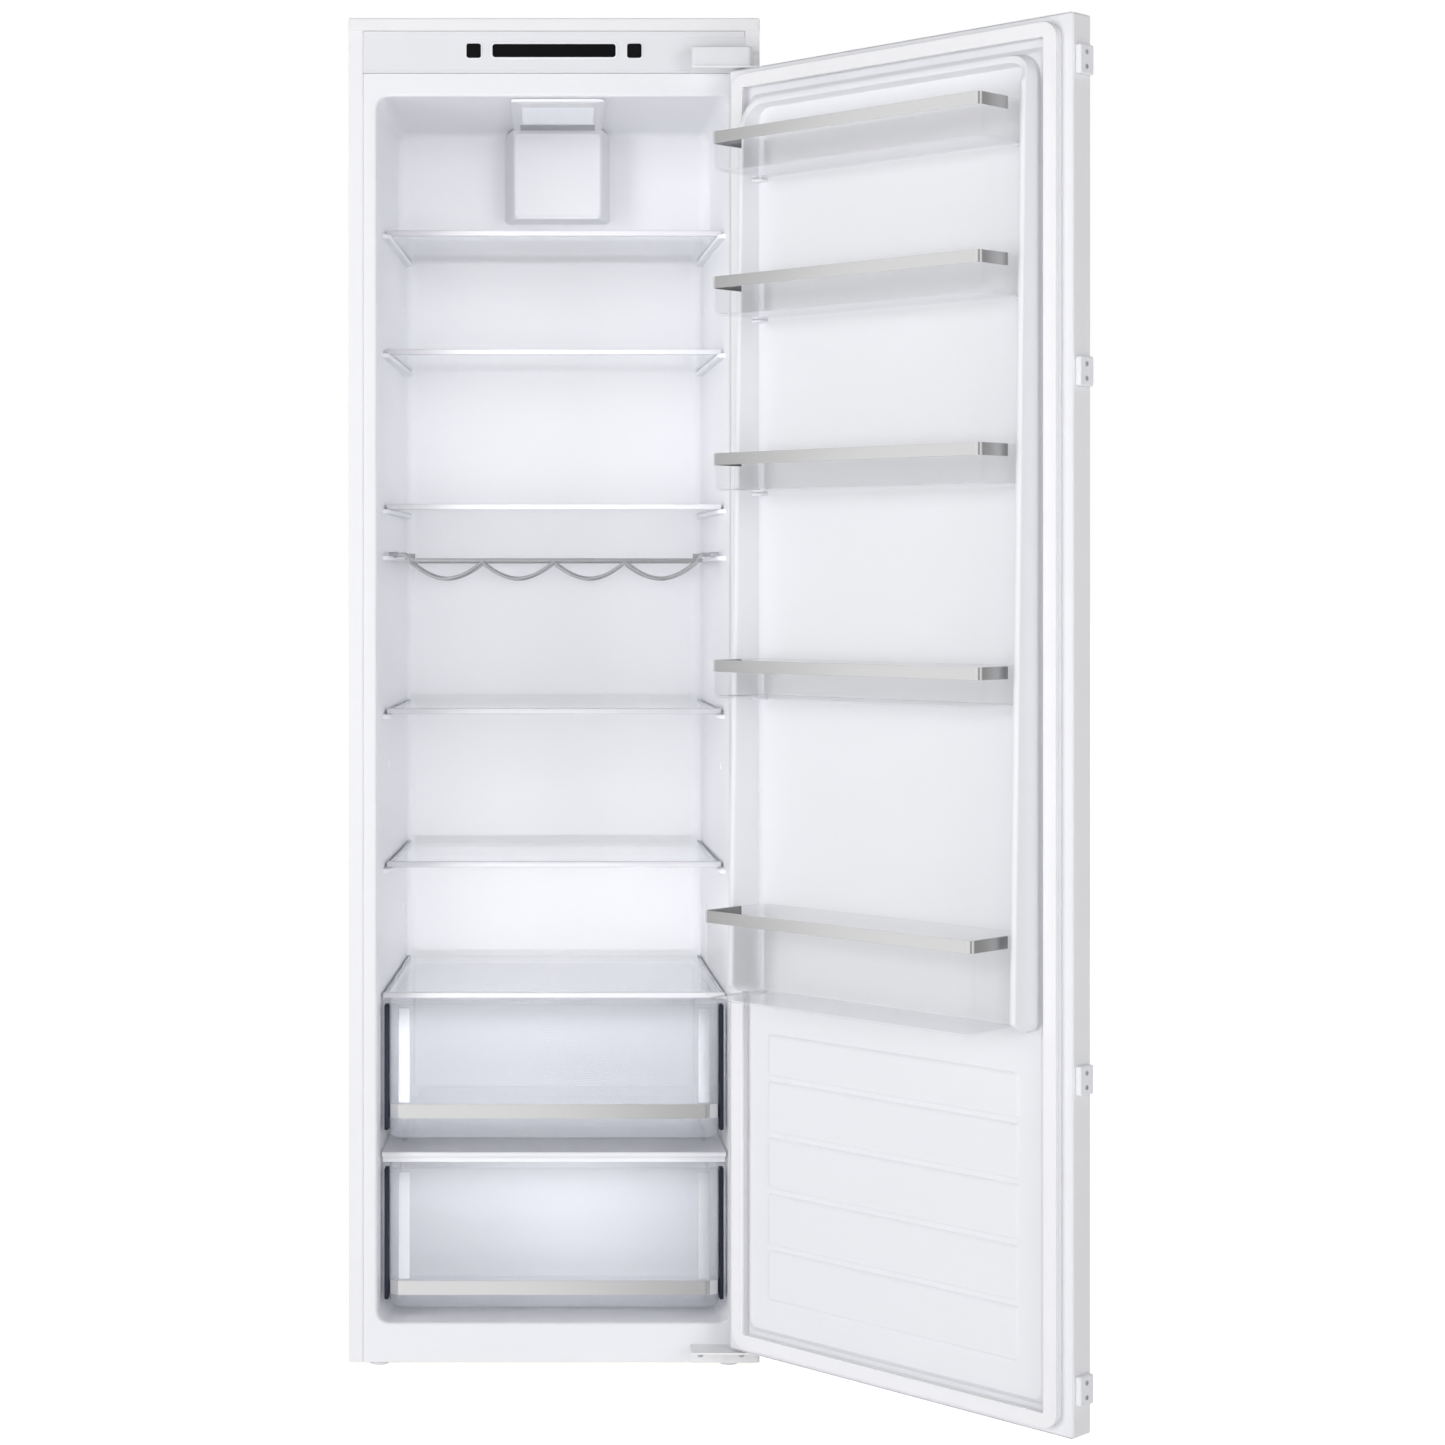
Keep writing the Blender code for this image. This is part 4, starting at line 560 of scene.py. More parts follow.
def paint_dark(name, tint, roughness=0.42, grain=800.0, gloss=0.5):
    paint_grained(name, tint, dim(tint, 1.6), roughness, cloud=(20.0, 0.12),
                  grain=(grain, 2.0, 0.00004, 0.6), specular_ior_level=gloss)


def paint_chrome(tint):
    paint_grained("chrome_wire", dim(tint, 0.9), tint, 0.14, cloud=(60.0, 0.10),
                  grain=(1400.0, 1.0, 0.00001, 0.4), metallic=1.0)


def paint_zinc(name, tint, metallic=0.9, depth=0.80):
    paint = Paint(name)
    flakes = paint.cells(160.0, "Color")
    streak = paint.noise(30.0, 4.0, stretch=(1, 1, 0.15))
    shade = paint.node("ShaderNodeSeparateColor", inputs={0: flakes})
    paint.set(base_color=paint.mix(shade, dim(tint, depth), tint), metallic=metallic,
              roughness=0.34 + 0.14 * shade + 0.06 * streak, normal=paint.bump(shade, 0.00003, 0.3))


def paint_brushed(name, tint, roughness):
    paint = Paint(name)
    lines = paint.noise(6.0, 3.0, stretch=(1, 1, 420))
    cloud = paint.noise(9.0)
    paint.set(base_color=paint.mix(lines, dim(tint, 0.90), tint), metallic=1.0,
              roughness=roughness + 0.04 * lines + 0.02 * cloud)


def paint_clear(name, tint, edge, haze, roughness, rim=0.0, gloss=0.04):
    """Thin clear sheet: it mirrors a share of gloss + (1 - gloss) graze^4, and of the rest a little is
    haze, which thickens as haze + rim graze^3 where the sheet is seen edge on. Seen edge on, its colour
    turns towards edge as graze^2: a painted highlight where edge is lighter than tint, and a painted
    shade where it is darker. Only the face that looks at the viewer shows, so that a sheet's two faces
    count once."""
    paint = Paint(name)
    cloud = paint.noise(3.0)
    graze = paint.node("ShaderNodeLayerWeight", inputs={"Blend": 0.5}, output="Facing")
    shine = gloss + (1 - gloss) * graze ** 4
    milk = haze + rim * graze ** 3
    solid = milk + (1 - milk) * shine
    paint.set(base_color=paint.mix(graze ** 2, paint.mix(cloud, dim(tint, 0.96), tint), edge),
              roughness=roughness + 0.03 * cloud, metallic=shine / solid,
              alpha=solid * (1 - paint.node("ShaderNodeNewGeometry", output="Backfacing")))


def paint_foam(tint):
    paint = Paint("foam_fill")
    bubbles = paint.cells(700.0)
    cloud = paint.noise(14.0, 4.0)
    paint.set(base_color=paint.mix(cloud, dim(tint, 0.86), tint), roughness=0.85 + 0.1 * cloud,
              normal=paint.bump(bubbles, 0.0004, 0.8))


def paint_board(board, track):
    paint = Paint("circuit_board")
    tracks = paint.noise(240.0, 0.0, stretch=(1, 1, 3)).above(0.52)
    paint.set(base_color=paint.mix(tracks, board, track), roughness=0.35 + 0.15 * tracks,
              normal=paint.bump(tracks, 0.00003))


def paint_display(tint):
    paint = Paint("display_black")
    cloud = paint.noise(25.0)
    paint.set(base_color=paint.mix(cloud, tint, dim(tint, 2.0)), roughness=0.05 + 0.05 * cloud,
              specular_ior_level=0.06)


def paint_fins(tint):
    paint = Paint("bare_aluminium")
    lines = paint.noise(8.0, 3.0, stretch=(40, 40, 1))
    paint.set(base_color=paint.mix(lines, dim(tint, 0.8), tint), metallic=1.0, roughness=0.30 + 0.15 * lines)


def paint_lens(dark, light, glow):
    paint = Paint("frosted_lens")
    frost = paint.noise(600.0, 1.0)
    paint.set(base_color=paint.mix(frost, dark, light), roughness=0.30 + 0.1 * frost,
              emission_color=glow, emission_strength=0.12)


# CAD nodes with another finish of their slot's kind: the brackets' paler zinc, the fascia's darker white, a
# painted shade
OWN_FINISH = {"control_fascia": "fascia_painted_shade_white", "upper_hinge_bracket": "pale_zinc",
              "lower_hinge_bracket": "pale_zinc"}


class MakeFinishes(bpy.types.Operator):
    """Make every finish and give each CAD node its own"""

    bl_idname = "fridge.finishes"
    bl_label = "Finishes"

    def execute(self, context):
        tints = context.scene.fridge_colours
        paint_enamel(tints.enamel)
        paint_plastic("white_plastic", tints.plastic)
        # a lighter copy of the white plastic: painted light inside the cabinet
        paint_plastic("cavity_white", tints.cavity)
        # a darker copy of the white plastic: painted shade along the cabinet's top
        paint_plastic("fascia_painted_shade_white", tints.fascia)
        paint_plastic("satin_trim", tints.satin, roughness=0.20)
        paint_zinc("zinc_steel", tints.zinc)
        paint_zinc("pale_zinc", (0.88, 0.88, 0.89), metallic=0.15, depth=0.96)
        paint_brushed("silver_trim", tints.silver, roughness=0.08)
        # a darker copy of the silver: painted shade for the dim reflection on the bins' returns
        paint_brushed("silver_shade", dim(tints.silver, 0.55), roughness=0.20)
        paint_chrome(tints.chrome)
        paint_clear("shelf_glass", tints.glass, tints.glass, haze=0.03, roughness=0.03, rim=0.06)
        paint_clear("cover_glass", tints.glass, tints.glass, haze=0.08, roughness=0.08, rim=0.10)
        # the bins' darker edge colour is a painted shade where they are seen edge on
        paint_clear("clear_plastic", tints.clear, dim(tints.clear, 0.90), haze=0.015, roughness=0.04,
                    rim=0.50, gloss=0.015)
        paint_clear("frosted_plastic", tints.clear, tints.clear, haze=0.42, roughness=0.20, rim=0.30)
        # the drawers' darker tint is a painted shade on what is seen through them
        # the drawers' lighter edge colour is a painted highlight where they are seen edge on
        paint_clear("drawer_plastic", tints.drawer_shade_tint, (0.90, 0.91, 0.96), haze=0.20, roughness=0.06, rim=0.45)
        paint_foam(tints.foam)
        paint_rubber(tints.rubber)
        paint_dark("glass_edge", tints.glass_edge, roughness=0.15)
        paint_dark("black_steel", tints.black, roughness=0.28)
        paint_dark("dark_plastic", (0.020, 0.020, 0.022))
        paint_dark("key_black", (0.004, 0.004, 0.005), roughness=0.30, grain=1200.0, gloss=0.08)
        # grey of the rack's sleeves, and of the duct's slots, where it paints the shadow of a gap
        paint_dark("slot_grey", (0.30, 0.30, 0.33), roughness=0.5)
        # near black: a painted shadow in the gaps beside the drawers
        paint_dark("edge_grey", (0.020, 0.022, 0.034), roughness=0.4, gloss=0.1)
        paint_board(board=(0.01, 0.10, 0.04), track=(0.03, 0.20, 0.09))
        paint_display((0.003, 0.003, 0.004))
        paint_fins((0.72, 0.73, 0.75))
        paint_lens(dark=(0.80, 0.82, 0.88), light=(0.90, 0.91, 0.95), glow=(0.9, 0.93, 1.0))
        for row in frame["record"]["subparts"]:
            finish = OWN_FINISH.get(row["node"], row["material_slot"])
            for place in frame["nodes"][row["node"]].material_slots:
                place.material = bpy.data.materials[LOOK + finish]
        return {"FINISHED"}


# Cabinet

def wall_x(y):
    """Half the cavity's width at a depth: front + (back - front) y / depth."""
    sizes = bpy.context.scene.fridge_cabinet
    return sizes.front_half + (sizes.back_half - sizes.front_half) * y / sizes.depth


def across(outline, inset):
    """An outline of (y, z) carried from side wall to side wall, less an inset."""
    y, z = np.asarray(outline, float).T
    return skin(np.stack([columns(s * (wall_x(y) - inset), y, z) for s in SIDES]))


def cavity_line(sizes, inset):
    """The cavity seen from the side and drawn in by an inset, as a line of (y, z)."""
    low, high = sizes.floor + inset, sizes.ceiling - inset
    step, back, housing = sizes.step_depth - inset, sizes.depth - inset, sizes.housing_depth - inset
    under, over = sizes.step_top + inset, sizes.housing_bottom - inset
    corners = ((sizes.lip, low), (step, low), (step, under), (back, under),
               (back, over), (housing, over), (housing, high), (sizes.lip, high))
    return filleted(corners, sizes.corner * np.array((0, 1, 0.7, 1, 1, 0.7, 1, 0)))


def liner_rings(sizes, wall):
    """Lines of the cavity from its left wall to its right. In the corner at each side wall a line is
    drawn in by r (1 - sin a) and stands r (1 - cos a) in from the wall."""
    rows = []
    for s in SIDES:
        part = []
        for turn in np.linspace(0, QUARTER, 8):
            y, z = cavity_line(sizes, sizes.corner * (1 - math.sin(turn)) - wall).T
            x = s * (wall_x(y) + wall - sizes.corner * (1 - math.cos(turn)))
            part.append(columns(x, y, z))
        rows += part[::-s]
    return np.array(rows)


def double_skin(inner, outer):
    """Two open skins of the same rows and columns, joined round their mouth by quads."""
    rows, columns = inner.shape[:2]
    total = rows * columns
    index = np.arange(total).reshape(rows, columns)
    mouth = np.concatenate((index[:, 0], index[::-1, -1]))
    after = np.roll(mouth, -1)
    bridge = np.stack((mouth, after, after + total, mouth + total), axis=-1)
    points_in, quads_in, ends_in = skin(inner, around=False)
    points_out, quads_out, ends_out = skin(outer, around=False)
    return (np.concatenate((points_in, points_out)),
            np.concatenate((quads_in, quads_out[:, ::-1] + total, bridge)),
            ends_in + [end[::-1] + total for end in ends_out])


def liner_front(sizes):
    """The liner's flat front flange, which turns over a small radius into the cavity."""
    bevel, corner = 0.0006, 0.002
    low, high = span("inner_liner")

    def grown(by, y):
        return (sizes.front_half + by, sizes.floor - by, sizes.ceiling + by, sizes.corner + by, y)

    rows = [grown(sizes.lip * (1 - math.cos(a)), sizes.lip * (1 - math.sin(a)))
            for a in np.linspace(0, QUARTER, 6)]
    for inset, y in ((bevel, 0.0), (0.0, bevel), (0.0, sizes.wall)):
        rows.append((high[0] - inset, low[2] + inset, high[2] - inset, corner, y))
    rows += [grown(sizes.wall, sizes.wall), grown(sizes.wall, sizes.lip)]
    piece("liner_front", [stacked(rows, loop=True)], "cabinet", "white_plastic")


def rib(sizes, side, top):
    """A rib whose reach grows as r sin a over its nose, where y = nose (1 - cos a)."""
    front, back, nose, height, root = 0.075, 0.425, 0.012, 0.006, 0.001
    blunt_end = 0.15
    turns = np.linspace(blunt_end, QUARTER, 6)
    y = np.concatenate((front + nose * (1 - np.cos(turns)), back - nose * (1 - np.cos(turns[::-1]))))
    reach = sizes.rib_reach * np.sin(np.concatenate((turns, turns[::-1])))
    half = reach / 2 + root
    u, v = rectangle_rings(half, height / 2, np.minimum(half * 0.9, height * 0.4), 4)
    centre = side * (wall_x(y) - reach / 2 + root)
    return skin(place_along("y", centre[:, None] + u, top - height / 2 + v, y[:, None]))


def shelf_ribs(sizes):
    """A rib on each side wall under every shelf, the wine rack, the crisper cover and the divider."""
    rack_rib_top = 1.0643
    tops = [span(f"shelf_{number}")[0][2] - GAP for number in NUMBERS]
    tops += [rack_rib_top, span("crisper_cover")[0][2] - GAP, span("drawer_divider")[0][2] - GAP]
    ribs = [rib(sizes, side, top) for top in tops for side in SIDES]
    # the ribs take the lighter cavity plastic, which is painted light
    piece("shelf_ribs", ribs, "cabinet", "white_plastic", finish="cavity_white")


def wall_caps():
    """Round caps over the screws in the side walls. Their section is (radius, height)."""
    section = ((0.0062, -0.001), (0.0062, 0.0004), (0.0054, 0.0012), (0.0030, 0.0015), (0.0, 0.0016))
    caps = []
    for side, y, z in ((-1, 0.370, 1.418), (-1, 0.160, 0.778), (1, 0.140, 0.779),
                       (1, 0.370, 1.418), (-1, 0.370, 0.560), (1, 0.370, 0.560)):
        caps.append(turned("x", (y, z), [(r, side * (wall_x(y) - h)) for r, h in section], 24))
    # the caps take the lighter cavity plastic, which is painted light
    piece("wall_caps", caps, "cabinet", "white_plastic", finish="cavity_white")


class MakeLiner(bpy.types.Operator):
    """Make the cavity's liner, its front flange, shelf ribs and screw caps"""

    bl_idname = "fridge.liner"
    bl_label = "Cabinet liner"

    def execute(self, context):
        sizes = context.scene.fridge_cabinet
        # the liner takes the lighter cavity plastic, which is painted light
        piece("cabinet_liner", [double_skin(liner_rings(sizes, 0), liner_rings(sizes, sizes.wall))],
              "cabinet", "white_plastic", ["inner_liner"], finish="cavity_white")
        liner_front(sizes)
        shelf_ribs(sizes)
        wall_caps()
        return {"FINISHED"}


def top_strip():
    """The bent strip along the top front edge, which is screwed to the niche."""
    thick = 0.0012
    low, high = span("top_fixing_strip")
    corners = ((low[1], low[2]), (low[1] + thick, low[2]), (low[1] + thick, high[2] - thick),
               (high[1], high[2] - thick), (high[1], high[2]), (low[1], high[2]))
    outline = filleted(corners, (0, 0.0003, 0.0015, 0.0005, 0.0005, 0.0027), 5, True)
    piece("top_strip", [bar("x", outline, low[0], high[0])], "cabinet", "painted_sheet",
          ["top_fixing_strip"])


def fascia_bands():
    """The proud band along the fascia's top and the narrow one along its foot."""
    inset, sunk, corner = 0.0004, 0.001, 0.001
    low, high = span("control_fascia")
    bands = [pad("y", (low[0] + inset, -proud, bottom), (high[0] - inset, sunk, top), corner, edge, 3)
             for bottom, top, proud, edge in ((high[2] - 0.0084, high[2], 0.0008, 0.0006),
                                              (low[2], low[2] + 0.0030, 0.0006, 0.0005))]
    # the bands take the darker fascia plastic, a painted shade
    piece("fascia_bands", bands, "cabinet", "white_plastic", finish="fascia_painted_shade_white")


def key(name):
    """A square key with a shallow dish. Returns the skin of the rim round it."""
    clearance, rim_depth = 0.0012, -0.0003
    low, high = span(name)
    dish = ((0.0040, 0.0001), (0.0020, 0.0), (0.0007, 0.0002), (0.0, 0.0009), (0.0, high[1] - low[1]))
    piece(name + "_cap", [moulded("y", low, high, 0.0032, dish)], name, "key_black", [name])
    half = (high - low) / 2 + clearance
    x, z = rectangle_rings(half[0], half[2], 0.0042, 8)
    loop = columns(x[0], rim_depth, z[0]) + (low + high) / 2 * (1, 0, 1)
    loop = loop[np.linalg.norm(loop - np.roll(loop, 1, axis=0), axis=1) > TINY]
    return carried(small_profile(width=0.0018, height=0.0012, edge=0.0005), loop, INWARD, closed=True)


def display_and_keys():
    """The black window and the two keys, each in its rim."""
    low, high = span("display_window")
    rims = [facing_pad(low, high, margin=0.0024, front=-0.0009, back=0.0, corner=0.0062, edge=0.0007)]
    rims += [key(name) for name in ("key_left", "key_right")]
    piece("panel_rims", rims, "cabinet", "white_plastic")
    glass = facing_pad(low, high, margin=-0.0006, front=-0.0013, back=-0.0007, corner=0.0038, edge=0.0003)
    piece("display_glass", [glass], "cabinet", "display_black", ["display_window"])


def hinge_cap():
    """The block over the upper hinge, and the screws in both leaves of its bracket."""
    radius, front_leaf, lower_leaf = 0.0042, (0.0163, -0.0028), (-0.0150, 0.0259)
    # the cap takes the darker fascia plastic, a painted shade
    piece("hinge_cap", [pad("z", *span("upper_hinge_cover"), corner=0.006, edge=0.0022)], "cabinet",
          "white_plastic", ["upper_hinge_cover"], finish="fascia_painted_shade_white")
    screws = []
    for x in (0.192, 0.246):
        screws.append(screw("y", (x, front_leaf[0]), front_leaf[1], radius))
        screws.append(screw("z", (x, lower_leaf[0]), lower_leaf[1], radius))
    piece("hinge_screws", screws, "cabinet", "zinc_steel")


class MakePanel(bpy.types.Operator):
    """Make the top strip, the display, the two keys and the trims of the control panel"""

    bl_idname = "fridge.control_panel"
    bl_label = "Control panel"

    def execute(self, context):
        top_strip()
        fascia_bands()
        display_and_keys()
        hinge_cap()
        return {"FINISHED"}


def air_duct(centre):
    """The box on the rear wall, which widens towards its back, the plate and rail along the ceiling,
    and dark slots in the plate's rear end, which paint the shadow in the gap between the lamp and
    the box."""
    front, half, base_half, corner = 0.250, 0.062, 0.074, 0.005
    plate_front, plate_thick, plate_over = 0.012, 0.005, 0.004
    rail_inset, rail_front, rail_back, rail_proud, rail_sunk = 0.010, 0.020, 0.190, 0.0006, 0.001
    bottom = span("duct_housing")[0][2]
    back, top = span("duct_housing")[1][1:]
    profile = np.concatenate((arc(0.003, 4), ((0.0, back - front),)))
    box = moulded("y", (centre - half, front, bottom), (centre + half, back, top), corner, profile)
    points = box[0]
    spread = 1 + (points[:, 1] - front) / (back - front) * (base_half / half - 1)
    points[:, 0] = centre + (points[:, 0] - centre) * spread
    under = top - plate_thick
    plate = pad("z", (centre - half, plate_front, under), (centre + half, front + plate_over, top),
                corner=0.008, edge=0.0018)
    rail = pad("z", (centre - half + rail_inset, rail_front, under - rail_proud),
               (centre + half - rail_inset, rail_back, under + rail_sunk), corner=0.006, edge=0.0006)
    piece("air_duct", [box, plate, rail], "cabinet", "white_plastic", ["duct_housing"])

    # dark slots under the plate's rear end: a painted shadow of the gap between the lamp and the box
    slot_half, slot_width, slot_proud, slot_sunk, first, last = 0.052, 0.0044, 0.0008, 0.0004, 0.200, 0.238
    slots = [pad("z", (centre - slot_half, y - slot_width / 2, under - slot_proud),
                 (centre + slot_half, y + slot_width / 2, under + slot_sunk), corner=0.0021, edge=0.0005,
                 steps=4) for y in np.linspace(first, last, 5)]
    piece("air_slots", slots, "cabinet", "dark_plastic", finish="slot_grey")


def lamp_glass():
    """The lamp's lens: its underside is fluted as |sin| of the place along it."""
    flutes, steps, flute_depth = 16, 97, 0.0002
    low, high = span("lamp_lens")
    x = np.linspace(low[0], high[0], steps)
    z = low[2] + flute_depth * np.abs(np.sin(np.linspace(0, flutes * math.pi, steps)))
    outline = np.concatenate((columns(x, z), ((high[0], high[2]), (low[0], high[2]))))
    piece("lamp_glass", [bar("y", outline, low[1], high[1])], "cabinet", "frosted_lens", ["lamp_lens"],
          angle=25)


class MakeDuct(bpy.types.Operator):
    """Make the air duct with its dark slots that paint a shadow, its square cover and the ceiling lamp's lens"""

    bl_idname = "fridge.duct"
    bl_label = "Air duct and lamp"

    def execute(self, context):
        low, high = span("duct_cover")
        air_duct((low[0] + high[0]) / 2)
        dish = ((0.0062, 0.0008), (0.0050, 0.0002), (0.0036, 0.0), (0.0014, 0.0001), (0.0004, 0.0006),
                (0.0, 0.0014), (0.0, high[1] - low[1]))
        piece("duct_front", [moulded("y", low, high, 0.007, dish)], "cabinet", "white_plastic",
              ["duct_cover"])
        lamp_glass()
        return {"FINISHED"}


def shelf(sizes, node, thick, finish):
    """A glass plate with a trim on its front edge, a lip at its back and dark side edges."""
    plate_front, trim_depth, lip_thick = 0.002, 0.011, 0.0030
    wall_gap, trim_gap = 0.0036, 0.0032
    edge_gap, edge_half, edge_over, edge_front, edge_back = 0.0046, 0.0016, 0.0006, 0.010, 0.002
    low, high = span(node)
    front, back, base = low[1], high[1], low[2]
    plate = box_outline((front + plate_front, base), (back, base + thick), thick * 0.3, 3)
    piece(node + "_glass", [across(plate, wall_gap)], node, "shelf_glass", [node], finish=finish)
    trim = box_outline((front, base - GAP), (front + trim_depth, base - GAP + sizes.trim_height),
                       (0.0022, 0.001, 0.001, 0.0022), 4)
    piece(node + "_trim", [across(trim, trim_gap)], node, "silver_trim", finish="satin_trim")
    lip = box_outline((back - lip_thick, base + thick / 2), (back, high[2]), 0.0012, 4)
    piece(node + "_lip", [across(lip, wall_gap)], node, "clear_plastic")
    y = np.array((front + edge_front, back - edge_back))
    rows = rectangle_rings(edge_half, thick / 2 + edge_over, edge_half / 2, 3)
    sides = [skin(place_along("y", s * (wall_x(y) - edge_gap)[:, None] + rows[0],
                              base + thick / 2 + rows[1], y[:, None])) for s in SIDES]
    piece(node + "_sides", sides, node, "shelf_glass", finish="glass_edge")


def divider():
    """The sheet between the drawers, with a nose and a lip along its front."""
    nose_height, lip_depth, lip_thick, sheet = 0.0065, 0.012, 0.004, 0.005
    small, large = 0.001, 0.003
    low, high = span("drawer_divider")
    nose, lip, plate = high[2] - nose_height, low[1] + lip_depth, high[2] - sheet
    corners = ((low[1], nose), (lip, nose), (lip, low[2]), (lip + lip_thick, low[2]),
               (lip + lip_thick, plate), (high[1], plate), (high[1], high[2]), (low[1], high[2]))
    outline = filleted(corners, (0.0015, *[small] * 6, large), 5, True)
    piece("divider", [across(outline, 0.003)], "cabinet", "white_plastic", ["drawer_divider"])


class MakeShelves(bpy.types.Operator):
    """Make the five glass shelves, the crisper cover and the drawer divider"""

    bl_idname = "fridge.shelves"
    bl_label = "Shelves"

    def execute(self, context):
        sizes = context.scene.fridge_cabinet
        for number in NUMBERS:
            shelf(sizes, f"shelf_{number}", 0.004, "shelf_glass")
        shelf(sizes, "crisper_cover", 0.0045, "cover_glass")
        divider()
        return {"FINISHED"}


def wave(y, half, hook, crest, waves=4, fall=0.023, roundness=0.44):
    """A wire across the rack: a hook at each end, and between them z = crest - fall w^roundness,
    where w = (1 - cos 2 pi n s) / 2 runs from 0 to 1 and back in each of n waves."""
    wall_gap, hook_foot, hook_head, bend = 0.0045, 0.005, 0.0005, 0.004
    share = np.linspace(0, 1, 129)
    z = crest - fall * ((1 - np.cos(2 * math.pi * waves * share)) / 2) ** roundness
    outer = wall_x(y) - wall_gap
    ends = filleted(((-outer, hook), (-half - hook_foot, hook), (-half - hook_head, crest)), bend, 6)
    line = np.concatenate((ends, columns(half * (2 * share - 1), z), ends[::-1] * (-1, 1)))
    return at_depth(line[np.r_[True, np.linalg.norm(np.diff(line, axis=0), axis=1) > 10 * TINY]], y)


class MakeRack(bpy.types.Operator):
    """Make the wire wine rack and the sleeves on its hooks"""

    bl_idname = "fridge.wine_rack"
    bl_label = "Wine rack"

    def execute(self, context):
        radius, half, front, back = 0.0028, 0.1944, 0.130, 0.400
        back_share, rail_x, rail_over = 1.055, 0.198, 0.004
        cross_half, cross_back = 0.202, 0.0012
        sleeve_wall, sleeve_length, sleeve_gap = 0.0009, 0.012, 0.0032
        hook_drop, crest_drop, weld = 0.002, 0.0095, 0.0017
        hook = span("wine_rack")[1][2] - hook_drop
        crest = hook - crest_drop
        level = crest + weld
        wires = [tube(wave(y, wide, hook, crest), radius, INWARD, 12)
                 for y, wide in ((front, half), (back, half * back_share))]
        for s in SIDES:
            ends = ((s * rail_x, front - rail_over, level), (s * rail_x, back + rail_over, level))
            wires.append(tube(ends, radius, UP, 12))
        for y in (front + cross_back, back + cross_back):
            wires.append(tube(((-cross_half, y, level), (cross_half, y, level)), radius, UP, 12))
        piece("rack_wires", wires, "wine_rack", "chrome_wire", ["wine_rack"])
        sleeves = []
        for y in (front, back):
            reach = wall_x(y) - sleeve_gap
            for s in SIDES:
                ends = ((s * reach, y, hook), (s * (reach - sleeve_length), y, hook))
                sleeves.append(tube(ends, radius + sleeve_wall, UP, 12))
        piece("rack_sleeves", sleeves, "wine_rack", "dark_plastic", finish="slot_grey")
        return {"FINISHED"}


def drawer(sizes, name, lift):
    """A tub on two runners, narrower towards its back as the cavity is, with dark bands round its
    front corners that paint the shadow in the gaps beside it, frosted posts behind its front and a
    silver strip."""
    clearance, wall, foot = 0.0106, 0.003, 0.012
    runner_inset, runner_half, runner_front, runner_back = 0.016, 0.003, 0.070, 0.020
    gap_shadow_out, edge_half, edge_front, edge_back, gap_shadow_drop = 0.0022, 0.0030, 0.010, 0.030, 0.003
    post_inset, post_half, post_front, post_back, post_drop = 0.0215, 0.0075, 0.0045, 0.0065, 0.006
    strip_gap, strip_start, strip_out = 0.001, 0.024, 0.0008
    low, high = span(name)
    front, back, top = low[1], high[1], high[2]
    half = wall_x(front) - clearance
    base = low[2] + lift
    tub = moulded("z", (-half, front, base), (half, back, top), sizes.drawer_corner,
                  tub_profile(top - base, wall, foot), 8)
    runners = pads_on_both_sides("z", half - runner_inset, runner_half, (front + runner_front, low[2]),
                                 (back - runner_back, base + 0.001), corner=0.002, edge=0.001)
    for points, *_ in (tub, *runners):
        points[:, 0] *= (wall_x(points[:, 1]) - clearance) / half
    piece(name + "_tub", [tub, *runners], name, "clear_plastic", [name], finish="drawer_plastic")
    # dark bands outside the front corners: a painted shadow in the gaps between drawer and wall
    edges = pads_on_both_sides("z", half + gap_shadow_out, edge_half, (front + edge_front, base + foot),
                               (front + edge_back, top - gap_shadow_drop), corner=0.002, edge=0.002)
    piece(name + "_edges", edges, name, "dark_plastic", finish="edge_grey")

    strip_low, strip_high = span(name + "_strip")
    posts = pads_on_both_sides("z", half - post_inset, post_half,
                               (front + post_front, strip_high[2] + strip_gap),
                               (front + post_back, top - post_drop), corner=0.0009, edge=0.0009)
    piece(name + "_posts", posts, name, "clear_plastic", finish="frosted_plastic")
    path = u_path(half + strip_out, front + strip_start, strip_low[1] + 0.0005, sizes.drawer_corner + 0.001,
                  (strip_low[2] + strip_high[2]) / 2)
    piece(name + "_band", [strip(path, strip_high[2] - strip_low[2])], name, "silver_trim",
          [name + "_strip"])


class MakeDrawers(bpy.types.Operator):
    """Make the two drawers with their edges, posts and silver strips"""

    bl_idname = "fridge.drawers"
    bl_label = "Drawers"

    def execute(self, context):
        for name, lift in (("upper_drawer", 0.014), ("lower_drawer", 0.006)):
            drawer(context.scene.fridge_cabinet, name, lift)
        return {"FINISHED"}


# Door

# Half its width, its two faces when it is closed, and the plateau of its liner
DOOR_HALF = 0.270
DOOR_OUTER, DOOR_INNER = -0.049, -0.014
PLATEAU_RISE = 0.006
PLATEAU = DOOR_INNER + PLATEAU_RISE


def door_shell(sizes, low, high):
    """The door's outer skin, folded over at its inner face."""
    hem, sheet, depth = 0.0004, 0.0010, DOOR_INNER - DOOR_OUTER
    fold = ((0, depth - hem), (hem, depth), (2 * hem, depth), (sheet, depth - hem), (sheet, 0.004),
            (0.0030, 0.001))
    shell = moulded("y", (-DOOR_HALF, DOOR_OUTER, low), (DOOR_HALF, DOOR_INNER, high), sizes.corner,
                    np.concatenate((arc(sizes.edge, 4), fold)))
    piece("door_shell", [shell], "door", "painted_sheet", ["door_skin"])


